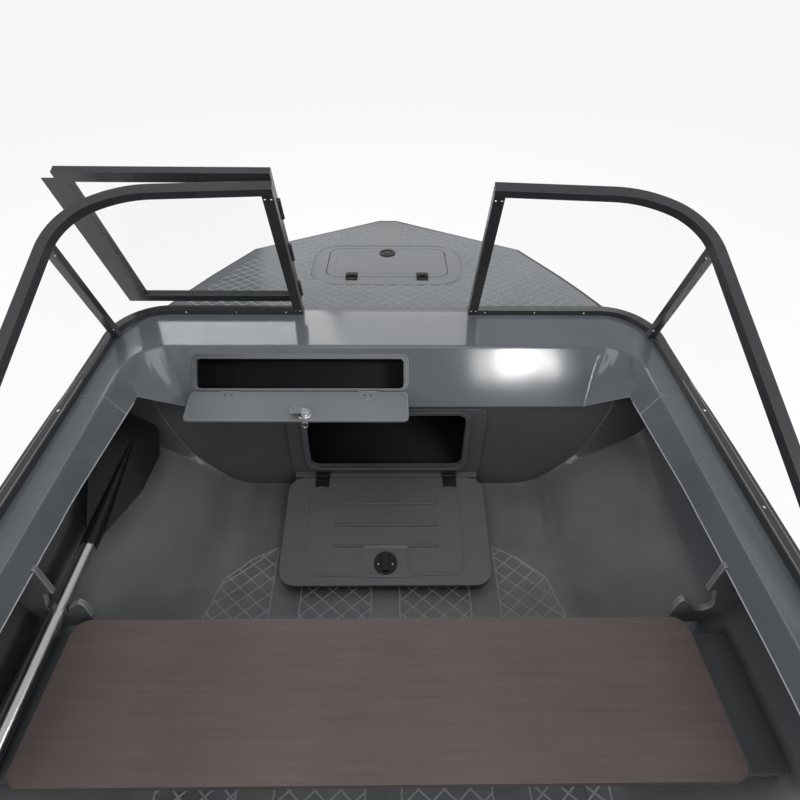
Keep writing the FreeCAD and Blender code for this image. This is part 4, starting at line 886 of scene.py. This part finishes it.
# Measured up the slope from the lid's near edge: ribs, line (half width, start, gap at the far
# edge), recess (half width, start, end) and the latch's screws (half gap, place, height)
LID_RIBS = (0.115, 0.180, 0.250)
LID_RIB_HALF = 0.156
LID_RIB_HIGH = 0.0044
LID_LINE = (0.232, 0.026, 0.030)
RECESS = (0.070, 0.022, 0.112)
PANEL_LINE_WIDE = 0.006
SUNK = -0.001
LATCH_SCREW = (0.020, 0.058, 0.0075)
LID_PROBE_X = 0.15


def lid_plane():
    """Lid top: x to starboard, y up the slope from the near edge, z out of the lid."""
    near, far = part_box("locker_lid")
    tree = tree_of("locker_lid")
    a = Vector((0, near.y + 0.01, top_of(tree, LID_PROBE_X, near.y + 0.01, ABOVE_LID)))
    b = Vector((0, far.y - 0.02, top_of(tree, LID_PROBE_X, far.y - 0.02, ABOVE_LID)))
    slope = (b - a).normalized()
    origin = a - slope * (0.01 / slope.y)
    return plane_at(origin, X_AXIS, slope), (far.y - near.y) / slope.y


def locker_lid_details():
    plane, long = lid_plane()
    bm = bmesh.new()
    for y in LID_RIBS:
        bar = rounded(-LID_RIB_HALF, LID_RIB_HALF, y - 0.006, y + 0.006, 0.0055, 4)
        top = rounded(-LID_RIB_HALF + 0.004, LID_RIB_HALF - 0.004, y - 0.002, y + 0.002, 0.0019, 4)
        bottom = [bm.verts.new((px, py, SUNK)) for px, py in bar]
        crest = [bm.verts.new((px, py, LID_RIB_HIGH)) for px, py in top]
        bm.faces.new(crest)
        bridge(bm, bottom, crest)
    half, start, end_gap = LID_LINE
    rim(bm, -half, half, start, long - end_gap, PANEL_LINE_WIDE, (0.045, 0.041), SUNK, 0.0026)
    half, start, end = RECESS
    rim(bm, -half, half, start, end, PANEL_LINE_WIDE, (0.014, 0.010), SUNK, 0.0024, -0.0012)
    moved(bm, plane)
    made("locker_lid_ribs", bm, materials["liner_plastic"], "locker_hatch",
         smooth=True)
    bm = bmesh.new()
    out = (plane.to_3x3() @ Z_AXIS).normalized()
    x, y, height = LATCH_SCREW
    for place in ((-x, y, height), (x, y, height)):
        screw(bm, plane @ Vector(place), out, 0.0036)
    made("locker_latch_screws", bm, bright_steel, "locker_hatch")


# Doorway in the bulkhead: a rolled rim

# Half width and heights of the doorway, width of the rim, and a spot (x, z) beside it
DOORWAY = (0.238, 0.293, 0.520)
DOORWAY_RIM = 0.013
BESIDE_DOORWAY = (0.27, 0.40)


def doorway_rim():
    """Rim on the bulkhead's aft face, which a ray from astern finds."""
    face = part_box("bow_bulkhead")[0].y
    x, z = BESIDE_DOORWAY
    hit = tree_of("bow_bulkhead").ray_cast(Vector((x, face - 0.1, z)), Y_AXIS)
    if hit[0]:
        face = hit[0].y
    half, z0, z1 = DOORWAY
    wide = DOORWAY_RIM
    bm = bmesh.new()
    rim(bm, -half - wide, half + wide, z0 - wide, z1 + wide, wide, (0.041, 0.028), -0.003, 0.005,
        -0.002)
    moved(bm, plane_at((0, face, 0), X_AXIS, Z_AXIS))
    made("doorway_rim", bm, materials["liner_plastic"], "boat", smooth=True)


# Glovebox: frame, rim and screws of the flap, lock with its tongue, and the spare key

# Mouth on the dash (x, x, down the slope, down the slope), frame steps as (grown by, height)
MOUTH = (-0.537, 0.052, 0.036, 0.120)
MOUTH_CORNERS = (0.020, 0.012)
FRAME_STEPS = ((0.014, 0.0012), (0.009, 0.0027))
FRAME_BELOW = 0.006
FLAP_PROBE_X = -0.1
FLAP_HINGE_X = (0.440, 0.050)
HINGE_SCREW_SHIFT = 0.009

# Round parts as (radius, radius on top, height), outlines of the tongue and the key's blade
LOCK_RIM = (0.0185, 0.0165, 0.0016)
LOCK_BARREL = (0.0105, 0.010, 0.012)
TONGUE = [(0.006, -0.008), (0.034, -0.013), (0.040, 0.000), (0.034, 0.012), (0.008, 0.010)]
TONGUE_FROM, TONGUE_TO = 0.012, 0.020
KEY_BLADE = [(-0.003, -0.010), (0.003, -0.010), (0.003, -0.030), (0.0012, -0.034),
             (0.003, -0.038), (0.0008, -0.042), (0.0026, -0.047), (-0.001, -0.060),
             (-0.003, -0.056)]
KEY_HALF_THICK = 0.001
KEY_RING = (0.009, 0.0011)


def glovebox_trim():
    """Frame round the glovebox mouth, a double step standing on the dash."""
    x0, x1, s0, s1 = MOUTH
    bm = bmesh.new()
    for grow, n in FRAME_STEPS:
        below = min(grow, FRAME_BELOW)
        outer = rounded(x0 - grow, x1 + grow, s0 - grow, s1 + below, MOUTH_CORNERS[0])
        inner = rounded(x0, x1, s0, s1, MOUTH_CORNERS[1])
        band(bm, outer, inner, 0.001, -n)
    moved(bm, dash_plane())
    made("glovebox_frame", bm, materials["glovebox_plastic"], "boat",
         smooth=True)


def flap_plane():
    """Inner face of the open flap: x to port, y away from the hinge, z out of the flap."""
    near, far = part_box("glovebox_flap")
    tree = tree_of("glovebox_flap")
    a = Vector((0, far.y - 0.02, top_of(tree, FLAP_PROBE_X, far.y - 0.02, ABOVE_DECKS)))
    b = Vector((0, near.y + 0.02, top_of(tree, FLAP_PROBE_X, near.y + 0.02, ABOVE_DECKS)))
    slope = (b - a).normalized()
    return plane_at(a - slope * (0.02 / -slope.y), -X_AXIS, slope)


def flap_details():
    """Rim, screws and lock on the flap's inner face."""
    near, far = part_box("glovebox_flap")
    plane = flap_plane()
    out = (plane.to_3x3() @ Z_AXIS).normalized()
    edge = plane.inverted() @ Vector((0, near.y + 0.002, near.z + 0.002))
    bm = bmesh.new()
    rim(bm, -far.x + 0.001, -near.x - 0.001, 0.004, edge.y, 0.005, (0.014, 0.010), SUNK, 0.0012)
    moved(bm, plane)
    made("glovebox_flap_rim", bm, materials["glovebox_plastic"], "glovebox_door",
         smooth=True)
    bm = bmesh.new()
    dots = bmesh.new()
    for x in FLAP_HINGE_X:
        for shift in (-HINGE_SCREW_SHIFT, HINGE_SCREW_SHIFT):
            screw(dots, plane @ Vector((x + shift, 0.014, 0.0)), out, 0.0034)
        screw(bm, plane @ Vector((x, 0.026, 0.0)), out, 0.0026)
    made("flap_screws_dark", dots, dark_screw, "glovebox_door")
    made("flap_screws", bm, bright_steel, "glovebox_door")
    lock_low, lock_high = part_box("glovebox_lock")
    spot = plane.inverted() @ ((lock_low + lock_high) / 2)
    bm = bmesh.new()
    disc(bm, (spot.x, spot.y, 0.0006), *LOCK_RIM, 28)
    disc(bm, (spot.x, spot.y, 0.008), *LOCK_BARREL, 24)
    moved(bm, plane)
    made("glovebox_lock_rim", bm, materials["lock_chrome"], "glovebox_door",
         smooth=True)
    key_pieces(plane, spot)


def key_pieces(plane, spot):
    """Tongue of the lock, turned to port, and a key on its ring under the flap's edge."""
    bm = bmesh.new()
    slab(bm, TONGUE, TONGUE_FROM, TONGUE_TO)
    bmesh.ops.bevel(bm, geom=bm.edges, offset=0.0016, segments=2, affect="EDGES")
    bmesh.ops.translate(bm, vec=(spot.x, spot.y, 0.0), verts=bm.verts)
    moved(bm, plane)
    made("lock_tongue", bm, materials["glovebox_plastic"], "glovebox_door",
         smooth=True)
    start = plane @ Vector((spot.x, spot.y, TONGUE_FROM))
    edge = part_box("glovebox_flap")[0]
    drop = Vector((start.x + 0.004, edge.y - 0.006, edge.z - 0.002))
    bm = bmesh.new()
    tube_ring(bm, drop, *KEY_RING)
    before = len(bm.verts)
    slab(bm, KEY_BLADE, -KEY_HALF_THICK, KEY_HALF_THICK)
    bm.verts.ensure_lookup_table()
    hang = Matrix.Translation(drop) @ Matrix.Rotation(math.radians(90), 4, "X")
    bmesh.ops.transform(bm, matrix=hang, verts=bm.verts[before:])
    made("spare_key", bm, materials["lock_chrome"], "glovebox_door", smooth=True)


# Windscreen: screws, and raised lips along the side rails

# Post screws as (share of the rake up, place forward), the others in the frame's own axes
POST_SCREWS = (GATE_HALF + 0.006, GATE_HALF + 0.020)
POST_SCREW_HIGH = (0.955, -BAR / 2)
POST_SCREW_LOW = (0.045, -0.0105)
RAIL_SCREW_X = 0.788
RAIL_SCREW_YS = (0.609, 0.322, 0.035)
FRONT_SCREW_XS = (0.300, 0.450, 0.600)
FRONT_SCREW_FROM = (0.90, 0.711)
SCREW_SUNK = 0.0008
RAIL_LIP_INSET = 0.004
RAIL_LIP_GAP = 0.019
RAIL_LIP_END_Y = 0.72
STRUT_FOOT = (0.768, 0.925, 0.703)
STRUT_HEAD = (0.727, 0.735, 1.071)
STRUT_SHARES = (0.10, 0.90)


def on_screen(u, share, n):
    """Point on the raked screen: u to starboard, a share of the rake up, n forward."""
    foot, head = Vector((0, *SCREEN_FOOT)), Vector((0, *SCREEN_HEAD))
    up = (head - foot).normalized()
    ahead = Vector((0, up.z, -up.y))
    return foot + (head - foot) * share + ahead * n + X_AXIS * u


def screen_screws():
    """Screws on the gate posts, the side rails and the front of the base rails."""
    up = (on_screen(0, 1, 0) - on_screen(0, 0, 0)).normalized()
    aft = -Vector((0, up.z, -up.y))
    bm = bmesh.new()
    for sign in (1, -1):
        for u in POST_SCREWS:
            screw(bm, on_screen(sign * u, *POST_SCREW_HIGH), aft)
            screw(bm, on_screen(sign * u, *POST_SCREW_LOW), aft, 0.0028)
    for side, sign in SIDES:
        tree = tree_of("screen_base_rail_" + side)
        for y in RAIL_SCREW_YS:
            z = top_of(tree, sign * RAIL_SCREW_X, y, ABOVE_RAILS)
            if z is not None:
                screw(bm, Vector((sign * RAIL_SCREW_X, y, z + SCREW_SUNK)), Z_AXIS, 0.004)
        for x in FRONT_SCREW_XS:
            hit = tree.ray_cast(Vector((sign * x, *FRONT_SCREW_FROM)), Y_AXIS)
            if hit[0]:
                screw(bm, hit[0] - Y_AXIS * SCREW_SUNK, -Y_AXIS, 0.0032)
    made("screen_screws", bm, bright_steel, "boat")


def rail_lines():
    """Raised lips along the side rails, on both sides of their pane groove, pale grey as a painted
    highlight.
    """
    for side, sign in SIDES:
        name = "screen_base_rail_" + side
        tree = tree_of(name)
        lo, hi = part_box(name)
        edge = (hi.x if sign > 0 else -lo.x) - RAIL_LIP_INSET
        bm = bmesh.new()
        for x in (edge, edge - RAIL_LIP_GAP):
            ends = [(sign * x, lo.y + 0.01), (sign * x, RAIL_LIP_END_Y)]
            path = laid(tree, ends, ABOVE_RAILS, step=0.06)
            if len(path) > 1:
                ridge(bm, path, 0.003, 0.0010)
        made("rail_lines_" + side, bm, rail_lip_highlight, "boat")


def strut_screws():
    """A screw near each end of the struts, on the side that faces inboard and aft."""
    bm = bmesh.new()
    for side, sign in SIDES:
        tree = tree_of("screen_strut_" + side)
        mirror = Vector((sign, 1, 1))
        foot = Vector(STRUT_FOOT) * mirror
        head = Vector(STRUT_HEAD) * mirror
        for share in STRUT_SHARES:
            place = foot.lerp(head, share)
            start = place + Vector((-sign * 0.3, -0.3, 0))
            hit = tree.ray_cast(start, (place - start).normalized())
            if hit[0]:
                screw(bm, hit[0], hit[1], 0.0034)
    made("strut_screws", bm, bright_steel, "boat")


# Cockpit rim: the lower lip of its inner flange, a pale rod as a painted highlight

# Rays from amidships step down in mm under the deck, and the last one to hit finds the lip
LIP_LOOK_X = 0.745
LIP_PAST = 0.045
LIP_DROPS = range(50, 90)
LIP_STEPS = 40
LIP_RADIUS = 0.0016


def rim_lips():
    """Rolled lower lip along the inner flange of the cockpit rim, pale as a painted highlight."""
    for side, sign in SIDES:
        name = "side_deck_" + side
        tree = tree_of(name, "cowl")
        lo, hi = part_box(name)
        path = []
        for k in range(LIP_STEPS + 1):
            y = lo.y + 0.01 + (hi.y + LIP_PAST - lo.y - 0.01) * k / LIP_STEPS
            deck = top_of(tree, sign * LIP_LOOK_X, y, ABOVE_RAILS)
            if deck is None:
                continue
            lip = None
            for drop in LIP_DROPS:
                hit = tree.ray_cast(Vector((0, y, deck - drop / 1000)), X_AXIS * sign)[0]
                if hit is None or abs(hit.x) > LIP_LOOK_X:
                    break
                lip = hit
            if lip is not None:
                path.append(lip)
        bm = bmesh.new()
        rod(bm, path, LIP_RADIUS)
        made("rim_lip_" + side, bm, lip_highlight_grey, "boat", smooth=True)


foredeck_tread()
hatch_surround()
hatch_details()
floor_tread_panels()
locker_lid_details()
doorway_rim()
glovebox_trim()
flap_details()
screen_screws()
rail_lines()
rim_lips()
strut_screws()
